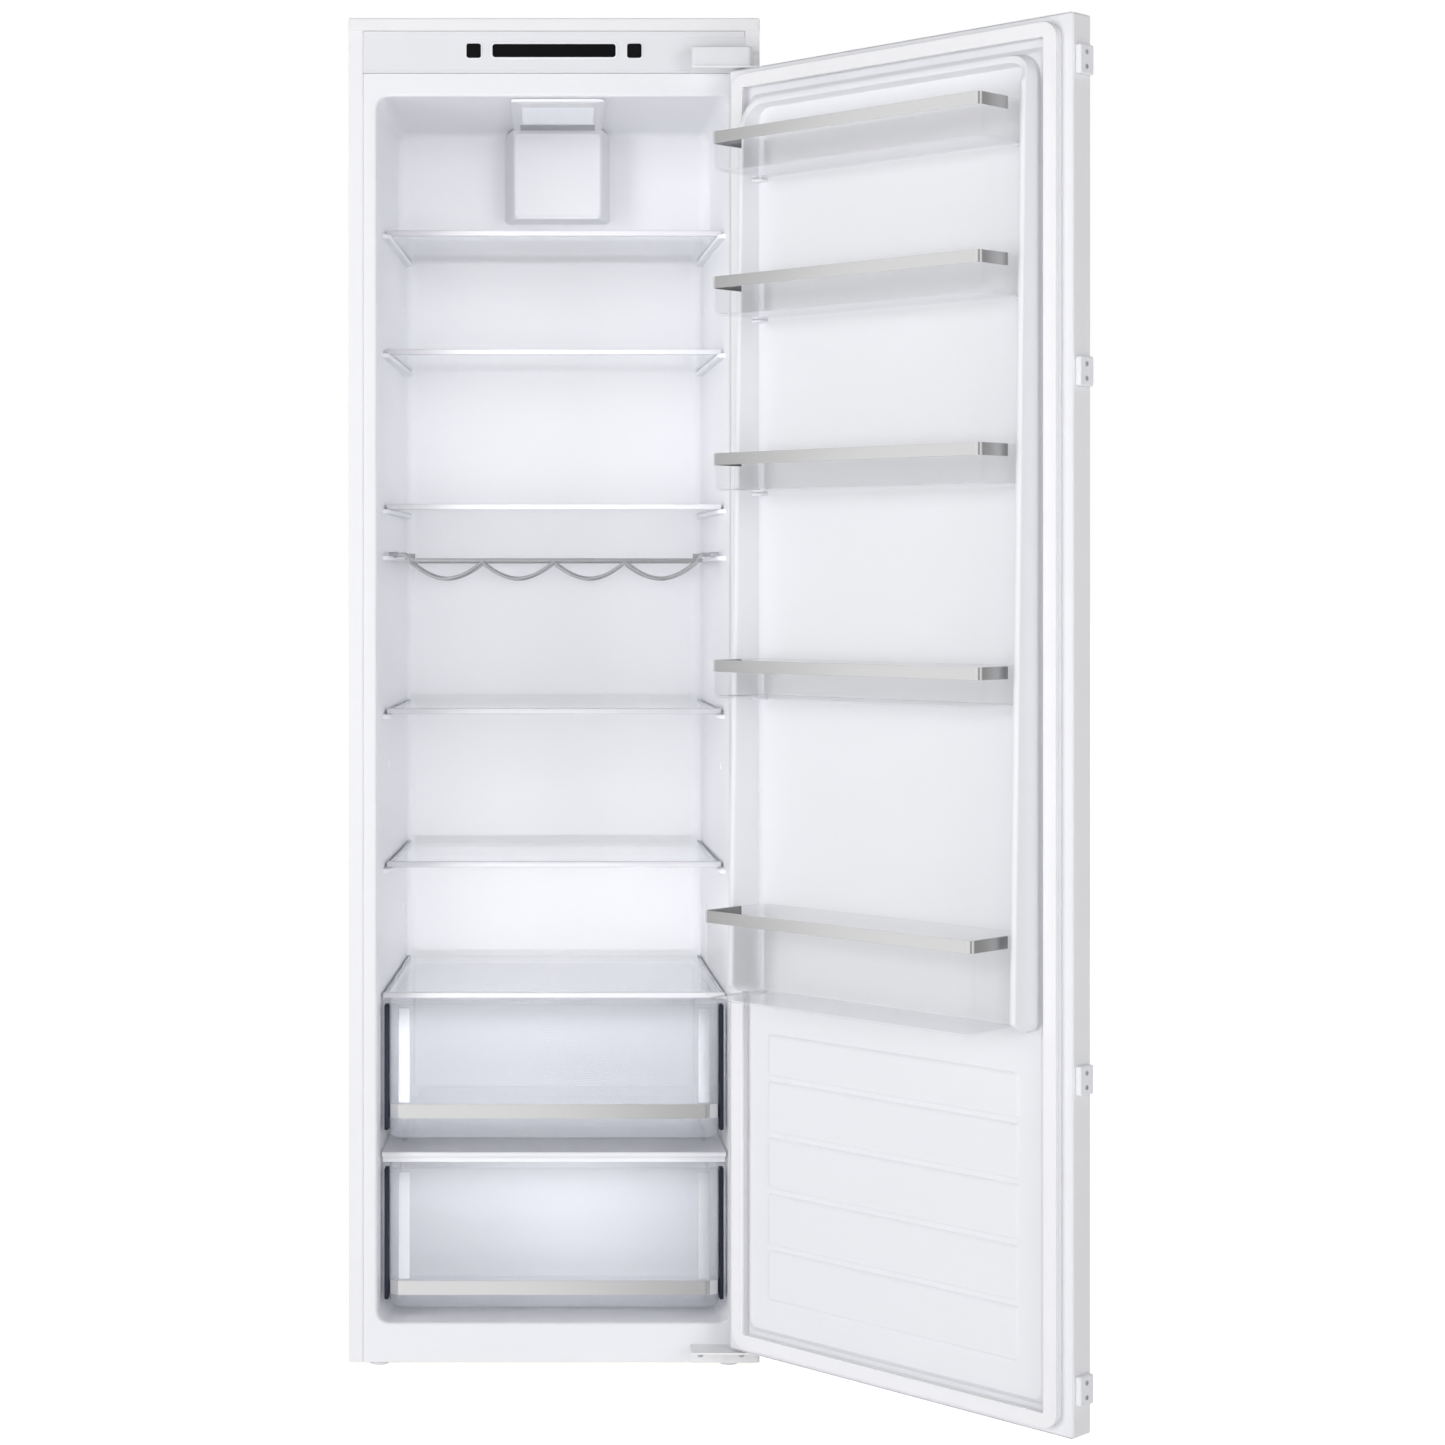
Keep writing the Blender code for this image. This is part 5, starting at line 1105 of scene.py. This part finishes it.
def door_sheet(low, high):
    """The liner's flat rim and the soft step up to its plateau."""
    inset, bevel, rim_corner, step_corner = 0.0013, 0.0006, 0.003, 0.012
    side_inset, foot_inset, head_inset = 0.0395, 0.036, 0.040
    half, bottom, top = DOOR_HALF - inset, low + inset, high - inset
    rows = [(half, bottom, top, rim_corner, DOOR_INNER - 0.002),
            (half, bottom, top, rim_corner, DOOR_INNER - bevel),
            (half - bevel, bottom + bevel, top - bevel, rim_corner, DOOR_INNER)]
    side, foot, head = DOOR_HALF - side_inset, low + foot_inset, high - head_inset
    for draw, up in ((-0.0048, 0.0), (-0.0036, 0.0008), (-0.0020, 0.0022), (0.0004, PLATEAU_RISE - 0.0018),
                     (0.0020, PLATEAU_RISE - 0.0004), (0.0036, PLATEAU_RISE)):
        rows.append((side - draw, foot + draw, head - draw, step_corner, DOOR_INNER + up))
    return stacked(rows)


def door_slats(sizes, low, high):
    """Five embossed slats on the lower part, parted by grooves at shares of the door's height."""
    half, raised, sunk, corner = 0.197, 0.0026, 0.0001, 0.004
    lines = low + np.array((0.0450, 0.0877, 0.1310, 0.1743, 0.2176, 0.2538)) * (high - low)
    swell = ((0.0, 0.0), (0.0010, 0.0012), (0.0024, 0.0020), (0.0042, 0.0025), (0.0070, raised))
    return [moulded("y", (-half, PLATEAU - sunk, bottom + sizes.groove / 2),
                    (half, PLATEAU + raised, top - sizes.groove / 2), corner, swell, 4)
            for bottom, top in zip(lines, lines[1:])]


def door_arch(sizes, low, high):
    """The ridge round the bins, up one side, across the top and down the other. At its two feet it
    shrinks as the quarter of a circle, and across the top it is lower by the share top_drop, which
    is reached over the rise of blend."""
    bottom_share, top_inset, side_inset = 0.2837, 0.042, 0.042
    nose, first_turn, blend, top_drop, reach = 0.014, 0.2, 0.080, 0.65, 0.055
    foot_half, tip_half = sizes.ridge_width / 2, sizes.ridge_tip / 2
    bottom, top = low + bottom_share * (high - low), high - top_inset - foot_half
    half = DOOR_HALF - side_inset - foot_half
    turns = np.linspace(first_turn, QUARTER, 7)[:-1]
    line = filleted(((-half, bottom + nose), (-half, top), (half, top), (half, bottom + nose)),
                    sizes.ridge_corner, 12)
    foot_line = columns(-half, bottom + nose * (1 - np.cos(turns)))
    line = np.concatenate((foot_line, line, (foot_line * (-1, 1))[::-1]))
    share = np.clip((line[:, 1] - top + blend) / blend, 0, 1)
    scale = columns(1.0, 1 - top_drop * share * share * (3 - 2 * share)).copy()
    scale[:6] *= np.sin(turns)[:, None]
    scale[-6:] *= np.sin(turns[::-1])[:, None]
    # the section: a foot that spreads into the plateau, two slightly drafted flanks and a round tip
    foot = np.array(((foot_half + 0.002, -0.001), (foot_half + 0.0008, 0.0006), (foot_half, 0.0026)))
    turns = np.linspace(0, math.pi, 9)
    tip_centre = reach - PLATEAU_RISE - tip_half
    tip = columns(tip_half * np.cos(turns), tip_centre + tip_half * np.sin(turns))
    section = np.concatenate((foot, tip, foot[::-1] * (-1, 1)))
    return carried(section, at_depth(line, PLATEAU), INWARD, scale=scale)


def door_lugs():
    """A lug under each end of every bin."""
    inner, outer, thick, reach, sunk = 0.198, 0.2155, 0.0035, 0.012, 0.001
    lugs = []
    for number in NUMBERS:
        top = span(f"door_bin_{number}")[0][2] - GAP
        lugs += pads_on_both_sides("y", (inner + outer) / 2, (outer - inner) / 2,
                                   (PLATEAU - sunk, top - thick), (PLATEAU + reach, top),
                                   corner=0.0015, edge=0.001, steps=3)
    return lugs


def door_seal(low, high):
    """The gasket: its section, as (place inwards, depth), carried round the door."""
    side_inset, end_inset, corner = 0.016, 0.009, 0.020
    section = ((0.0010, -0.0137), (0.0170, -0.0137), (0.0170, -0.0118), (0.0130, -0.0100),
               (0.0140, -0.0066), (0.0176, -0.0050), (0.0180, -0.0040), (0.0180, -0.0010),
               (0.0172, -0.0003), (0.0008, -0.0003), (0.0, -0.0010), (0.0, -0.0040),
               (0.0004, -0.0050), (0.0040, -0.0066), (0.0050, -0.0100), (0.0010, -0.0118))
    half, bottom, top = DOOR_HALF - side_inset, low + end_inset, high - end_inset
    rows = [(half - w, bottom + w, top - w, corner - w, y) for w, y in section]
    piece("door_seal", [stacked(rows, loop=True)], "door", "seal_rubber", ["door_gasket"])


class MakeDoor(bpy.types.Operator):
    """Make the door's skin, liner, slats, ridges, lugs and gasket"""

    bl_idname = "fridge.door"
    bl_label = "Door"

    def execute(self, context):
        sizes = context.scene.fridge_door
        low, high = span("door_skin")[:, 2]
        door_shell(sizes, low, high)
        liner = [door_sheet(low, high), *door_slats(sizes, low, high), door_arch(sizes, low, high),
                 *door_lugs()]
        piece("door_panel", liner, "door", "white_plastic", ["door_liner"])
        door_seal(low, high)
        return {"FINISHED"}


def door_bin(sizes, name, depth):
    """A clear tub with a silver strip round its front, whose two returns are painted a darker silver, a
    painted shade for their dimmer reflection.
    """
    half, back, front_inset, foot = 0.208, -0.0077, 0.014, 0.008
    return_back, outside = 0.031, 0.0008
    low, high = span(name)[:, 2]
    front = depth - front_inset
    tub = moulded("z", (-half, back, low), (half, front, high), sizes.bin_corner,
                  tub_profile(high - low, sizes.bin_wall, foot))
    piece(name + "_tub", [tub], name, "clear_plastic", [name])
    path = u_path(half + outside, return_back, front + outside, sizes.bin_corner + outside,
                  high - sizes.strip_height / 2)
    band, *returns = [strip(part, sizes.strip_height) for part in (path[1:-1], path[:2], path[-2:])]
    piece(name + "_band", [band], name, "silver_trim", [name + "_strip"])
    # the returns are a darker silver: painted shade
    piece(name + "_returns", returns, name, "silver_trim", finish="silver_shade")


class MakeBins(bpy.types.Operator):
    """Make the five door bins with their silver strips"""

    bl_idname = "fridge.door_bins"
    bl_label = "Door bins"

    def execute(self, context):
        for number, depth in zip(NUMBERS, (0.100, 0.100, 0.100, 0.100, 0.115)):
            door_bin(context.scene.fridge_door, f"door_bin_{number}", depth)
        return {"FINISHED"}


class MakeBrackets(bpy.types.Operator):
    """Make the four slide brackets on the door's free edge"""

    bl_idname = "fridge.brackets"
    bl_label = "Slide brackets"

    def execute(self, context):
        far, near, middle = -0.2768, -0.2703, -0.0315
        half_depth, half_height, corner = 0.0134, 0.0175, 0.003
        screw_rise, screw_base, screw_radius = 0.0085, 0.0014, 0.0038
        thick = near - far
        # the block's section from the door outwards, as (inset, height over the door)
        section = ((0.0, 0.0), (0.0, 0.0052), (0.0006, 0.0061), (0.0018, thick), (0.0034, thick),
                   (0.0040, 0.0061), (0.0048, 0.0059))
        screws = []
        for number in range(1, 5):
            name = f"slide_bracket_{number}"
            z = span(name)[:, 2].mean()
            block = moulded("x", (far, middle - half_depth, z - half_height),
                            (near, middle + half_depth, z + half_height), corner,
                            [(inset, thick - height) for inset, height in section])
            piece(name + "_block", [block], "door", "white_plastic", [name])
            screws += [screw("x", (middle, z + side * screw_rise), far + screw_base, screw_radius)
                       for side in SIDES]
        piece("bracket_screws", screws, "door", "zinc_steel")
        return {"FINISHED"}


# Back and underside

def compressor(x, y):
    """A pressed can in two halves on a plate, a terminal cover and four rubber feet."""
    radius, plate_lift, plate_thick, plate_x, plate_y = 0.070, 0.014, 0.003, 0.095, 0.055
    cover_y, foot_x, foot_y = 0.024, 0.083, 0.044
    low, high = span("compressor")
    base = low[2] + plate_lift
    tall = high[2] - base
    turns = np.linspace(0, QUARTER, 10)
    belly = [(0.55 + 0.42 * math.sin(a), 0.30 * (1 - math.cos(a))) for a in turns]
    seam = ((0.97, 0.40), (0.985, 0.47), (1.0, 0.48), (1.0, 0.505), (0.985, 0.515), (0.97, 0.56))
    dome = [(0.97 * math.cos(a), 0.62 + 0.38 * math.sin(a)) for a in turns]
    rows = [(radius * r, base + tall * h) for r, h in (*belly, *seam, *dome)]
    can = turned("z", (x, y), [(TINY, base), *rows], 48)
    plate = pad("z", (x - plate_x, y - plate_y, base), (x + plate_x, y + plate_y, base + plate_thick),
                corner=0.012, edge=0.001)
    cover = pad("x", (x + 0.050, y - cover_y, base + 0.045), (x + 0.094, y + cover_y, base + 0.100),
                corner=0.006, edge=0.003)
    piece("compressor_can", [can, plate, cover], "cabinet", "black_steel", ["compressor"])
    waist = ((0.010, 0.0), (0.010, 0.004), (0.008, 0.006), (0.008, 0.009), (0.010, 0.011), (0.010, 0.0155))
    rows = [(r, low[2] + h) for r, h in waist]
    feet = [turned("z", (x + sx * foot_x, y + sy * foot_y), rows, 20) for sx in SIDES for sy in SIDES]
    piece("compressor_grommets", feet, "cabinet", "dark_plastic")


def machine_cover():
    """The sheet over the foam round the machine compartment: its front wall and its ceiling, and a
    narrower skirt that reaches down between the base plate's edges."""
    front, back, top, sheet, half = 0.2684, 0.4888, 0.2065, 0.0008, 0.2683
    skirt_top, skirt_bottom, skirt_half = 0.0260, 0.0015, 0.2672
    inner, under = front + sheet, top - sheet
    angle = ((front, skirt_top), (inner, skirt_top), (inner, under), (back, under), (back, top),
             (front, top))
    skirt = ((front, skirt_bottom), (inner, skirt_bottom), (inner, skirt_top), (front, skirt_top))
    piece("machine_cover", [bar("x", angle, -half, half), bar("x", skirt, -skirt_half, skirt_half)],
          "cabinet", "zinc_steel")


def condenser(x, y):
    """A tube in level passes joined by half turns, with upright wires welded on it. Its end leads
    down and forward to the compressor."""
    tube_radius, wire_radius, back_gap, passes, wires = 0.0019, 0.0007, 0.0012, 14, 46
    bottom, top_gap, half, end_x, outlet = 0.370, 0.0025, 0.200, -0.173, 0.150
    last_run, overlap, pipe_top, can_side = 0.05, 0.015, 0.022, 0.060
    bend, wire_inset, wire_low, wire_high = 0.018, 0.012, 0.012, 0.0020
    high = span("condenser_coil")[1]
    plane = high[1] - back_gap - tube_radius
    top = high[2] - top_gap
    pitch = (top - bottom) / (passes - 1)
    turn = pitch / 2
    angle = np.linspace(-QUARTER, QUARTER, 13)
    points = [((turn - half, top),)]
    for number in range(passes - 1):
        s = SIDES[(number + 1) % 2]
        points.append(columns(s * (half - turn + turn * np.cos(angle)),
                              top - number * pitch - turn - turn * np.sin(angle)))
    last = ((end_x + last_run, bottom), (end_x, bottom), (end_x, outlet + overlap))
    points.append(filleted(last, bend, 8))
    coil = tube(at_depth(np.concatenate(points), plane), tube_radius, INWARD, 8)
    drop = filleted(((end_x, plane, outlet + pipe_top), (end_x, plane, outlet), (end_x, y, outlet),
                     (x - can_side, y, outlet)), bend, 8)
    outlet_pipe = tube(drop, tube_radius, (0.3, 0.2, 0.6), 8)
    depth = high[1] - wire_radius
    uprights = [tube(((place, depth, bottom - wire_low), (place, depth, top + wire_high)), wire_radius,
                     INWARD, 5) for place in np.linspace(wire_inset - half, half - wire_inset, wires)]
    piece("condenser", [coil, outlet_pipe, *uprights], "cabinet", "black_steel", ["condenser_coil"])


def mains_gland():
    """A ring whose section, as (radius, depth), is turned about the cord's hole."""
    low, high = span("mains_gland")
    base, tip = low[1], high[1]
    section = ((0.0050, base + 0.0001), (0.0110, base + 0.0001), (0.0110, base + 0.0012),
               (0.0098, base + 0.0018), (0.0086, base + 0.0020), (0.0078, tip - 0.0004), (0.0072, tip),
               (0.0056, tip), (0.0050, tip - 0.0006))
    centre = (low + high) / 2
    piece("gland_ring", [turned("y", (centre[0], centre[2]), section, loop=True)], "cabinet",
          "dark_plastic", ["mains_gland"])


def levelling_foot(name, x):
    """A disc on a threaded stem, whose radius goes up and down by a ripple."""
    y, stem, ripple, threads = 0.016, 0.0037, 0.0003, 45
    top = span(name)[1][2]
    disc = ((0.0, 0.0), (0.0118, 0.0), (0.013, 0.0008), (0.013, 0.0034), (0.0120, 0.0042),
            (0.0065, 0.0043), (0.0040, 0.0046))
    heights = np.linspace(0.0052, top - 0.001, threads)
    thread = columns(stem + ripple * np.cos(np.arange(threads) * math.pi), heights)
    rows = np.concatenate((disc, thread, ((0.003, top), (0.0, top))))
    piece(name + "_disc", [turned("z", (x, y), rows, 24)], name, "dark_plastic", [name],
          finish="fascia_painted_shade_white")


class MakeMachine(bpy.types.Operator):
    """Make the compressor, tray, cover, condenser, gland and levelling feet"""

    bl_idname = "fridge.machine"
    bl_label = "Compressor and condenser"

    def execute(self, context):
        x, y = -0.080, span("compressor")[:, 1].mean()
        compressor(x, y)
        low, high = span("evaporating_tray")
        tray = moulded("z", low, high, 0.010, tub_profile(high[2] - low[2], wall=0.002, foot=0.005))
        piece("drip_tray", [tray], "cabinet", "dark_plastic", ["evaporating_tray"])
        machine_cover()
        condenser(x, y)
        mains_gland()
        for name, foot_x in (("foot_left", -0.230), ("foot_right", 0.230)):
            levelling_foot(name, foot_x)
        return {"FINISHED"}


# Stage

def pale_floor(stage):
    """A flat grid that the camera sees almost white, that throws less light up and that metal
    doesn't mirror."""
    reach, steps, white = 60.0, 13, 1.0
    paint = Paint("pale_floor")
    cloud = paint.noise(0.8)
    seen = paint.node("ShaderNodeLightPath", output="Is Camera Ray")
    paint.set(base_color=paint.mix(cloud, (0.80, 0.80, 0.81), (0.83, 0.83, 0.84)),
              roughness=0.7 + 0.1 * cloud, emission_strength=stage.floor_glow,
              emission_color=paint.mix(seen, [stage.floor_light / stage.floor_glow] * 3, [white] * 3))
    x, y = np.meshgrid(*[np.linspace(-reach, reach, steps)] * 2)
    points, quads, _ = skin(columns(x, y, 0.0), around=False, caps=False)
    mesh = bpy.data.meshes.new("floor")
    mesh.from_pydata(points.tolist(), [], quads.tolist())
    mesh.materials.append(paint.material)
    floor = bpy.data.objects.new("floor", mesh)
    bpy.context.collection.objects.link(floor)
    floor.visible_glossy = False


def area(name, place, aim, size, power, spread=math.pi):
    """A rectangular soft light that looks at a point, unseen by the camera and by metal."""
    light = bpy.data.lights.new(name, "AREA")
    light.shape, light.energy, light.spread = "RECTANGLE", power, spread
    light.size, light.size_y = size
    obj = bpy.data.objects.new(name, light)
    obj.location = place
    away = np.array(place) - np.array(aim)
    flat = math.hypot(away[0], away[1])
    obj.rotation_euler = (math.atan2(flat, away[2]), 0.0, math.atan2(away[0], -away[1]))
    obj.visible_camera, obj.visible_glossy = False, False
    bpy.context.collection.objects.link(obj)


def lights(stage):
    """Large lights round the refrigerator, and weak ones in its mouth that light it within."""
    waist, tall = (0.0, 0.0, 0.9), (2.0, 2.4)
    area("front_light", (0.1, -3.8, 1.35), (0.0, 0.0, 1.0), (2.4, 1.5), stage.key)
    area("left_light", (-3.6, -3.6, 1.3), (0.2, -0.3, 0.9), tall, stage.left)
    area("right_light", (3.0, -4.7, 1.3), waist, tall, stage.right)
    area("rear_light_right", (2.7, 3.2, 1.5), waist, tall, stage.rear)
    area("rear_light_left", (-2.9, 3.0, 1.5), waist, tall, stage.rear)
    depth, width, spread = FRONT + 0.002, 0.42, 1.6
    for name, x, z, height, power in (("high_fill", 0.04, 1.25, 0.54, stage.fill_high),
                                      ("middle_fill", 0.03, 0.76, 0.15, stage.fill_middle),
                                      ("low_fill", 0.03, 0.555, 0.13, stage.fill_low),
                                      ("upper_drawer_fill", -0.01, 0.385, 0.14, stage.fill_upper),
                                      ("lower_drawer_fill", -0.01, 0.165, 0.16, stage.fill_lower)):
        area(name, (x, depth, z), (x, 0.0, z), (width, height), power, spread)


def surroundings(stage):
    """White all round. Metal mirrors a studio whose brightness changes with the direction: each row
    of (share, from, to) makes it darker by that share of the range, in a smooth step between two
    directions, given as shares of a full turn. 0.5 is towards the camera."""
    brightest, full_range = 1.12, 0.62
    steps = ((1.0, 0.225, 0.240), (-1.0, 0.2515, 0.263), (0.2, 0.271, 0.276), (-0.2, 0.295, 0.305),
             (1.0, 0.497, 0.514), (-1.0, 0.610, 0.630), (0.8, 0.690, 0.710), (-0.8, 0.830, 0.850))
    world = bpy.data.worlds.new("studio")
    world.use_nodes = True
    bpy.context.scene.world = world
    nodes = Nodes(world.node_tree)
    spot = nodes.node("ShaderNodeTexCoord", output="Generated")
    x = nodes.node("ShaderNodeSeparateXYZ", inputs={0: spot})
    turn = x.maths("ARCTAN2", x, -1 * x.beside("Y")) / (2 * math.pi) + 0.5
    dark = 0.0
    for share, low, high in steps:
        rise = nodes.node("ShaderNodeMapRange", {"interpolation_type": "SMOOTHSTEP"},
                          {"Value": turn, "From Min": low, "From Max": high})
        dark = dark + share * rise
    mirrored = stage.mirrored * (brightest - full_range * dark)
    ray = nodes.node("ShaderNodeLightPath", output="Is Camera Ray")
    glossy = ray.beside("Is Glossy Ray")
    strength = ray + (1 - ray) * (glossy * mirrored + (1 - glossy) * stage.ambient)
    background = world.node_tree.nodes["Background"]
    nodes.feed(background.inputs["Color"], (1.0, 1.0, 1.0))
    nodes.feed(background.inputs["Strength"], strength)


def photo_camera(stage):
    """A level camera straight in front, shifted as the photograph is cropped."""
    camera = bpy.data.cameras.new("camera")
    camera.lens, camera.sensor_width = stage.lens, 36.0
    camera.shift_x, camera.shift_y = stage.shift_x, stage.shift_y
    camera.dof.use_dof = False
    eye = bpy.data.objects.new("camera", camera)
    eye.location = (0.0, FRONT - stage.distance, stage.height)
    eye.rotation_euler = (QUARTER, 0.0, 0.0)
    bpy.context.collection.objects.link(eye)
    bpy.context.scene.camera = eye
    bpy.context.scene.view_settings.view_transform = "Standard"


class MakeStage(bpy.types.Operator):
    """Make the pale floor, the soft light and the camera at the photograph's angle"""

    bl_idname = "fridge.stage"
    bl_label = "Floor, light and camera"

    def execute(self, context):
        stage = context.scene.fridge_stage
        pale_floor(stage)
        lights(stage)
        surroundings(stage)
        photo_camera(stage)
        return {"FINISHED"}


# Add-on

SETTINGS = {"fridge_colours": FridgeColours, "fridge_cabinet": FridgeCabinet, "fridge_door": FridgeDoor,
            "fridge_stage": FridgeStage}
STEPS = (MakeFinishes, MakeLiner, MakePanel, MakeDuct, MakeShelves, MakeRack, MakeDrawers, MakeDoor,
         MakeBins, MakeBrackets, MakeMachine, MakeStage)


class FridgePanel(bpy.types.Panel):
    """Lists the steps that build the refrigerator"""

    bl_idname = "FRIDGE_PT_steps"
    bl_label = "Refrigerator"
    bl_space_type = "VIEW_3D"
    bl_region_type = "UI"
    bl_category = "Refrigerator"

    def draw(self, context):
        for step in STEPS:
            self.layout.operator(step.bl_idname, text=step.bl_label)


CLASSES = (*SETTINGS.values(), *STEPS, FridgePanel)


def register():
    for cls in CLASSES:
        bpy.utils.register_class(cls)
    for name, group in SETTINGS.items():
        setattr(bpy.types.Scene, name, bpy.props.PointerProperty(type=group))


def unregister():
    for name in SETTINGS:
        delattr(bpy.types.Scene, name)
    for cls in reversed(CLASSES):
        bpy.utils.unregister_class(cls)


def main():
    """Build everything in order."""
    register()
    for step in STEPS:
        group, name = step.bl_idname.split(".")
        getattr(getattr(bpy.ops, group), name)()


if __name__ == "__main__":
    main()
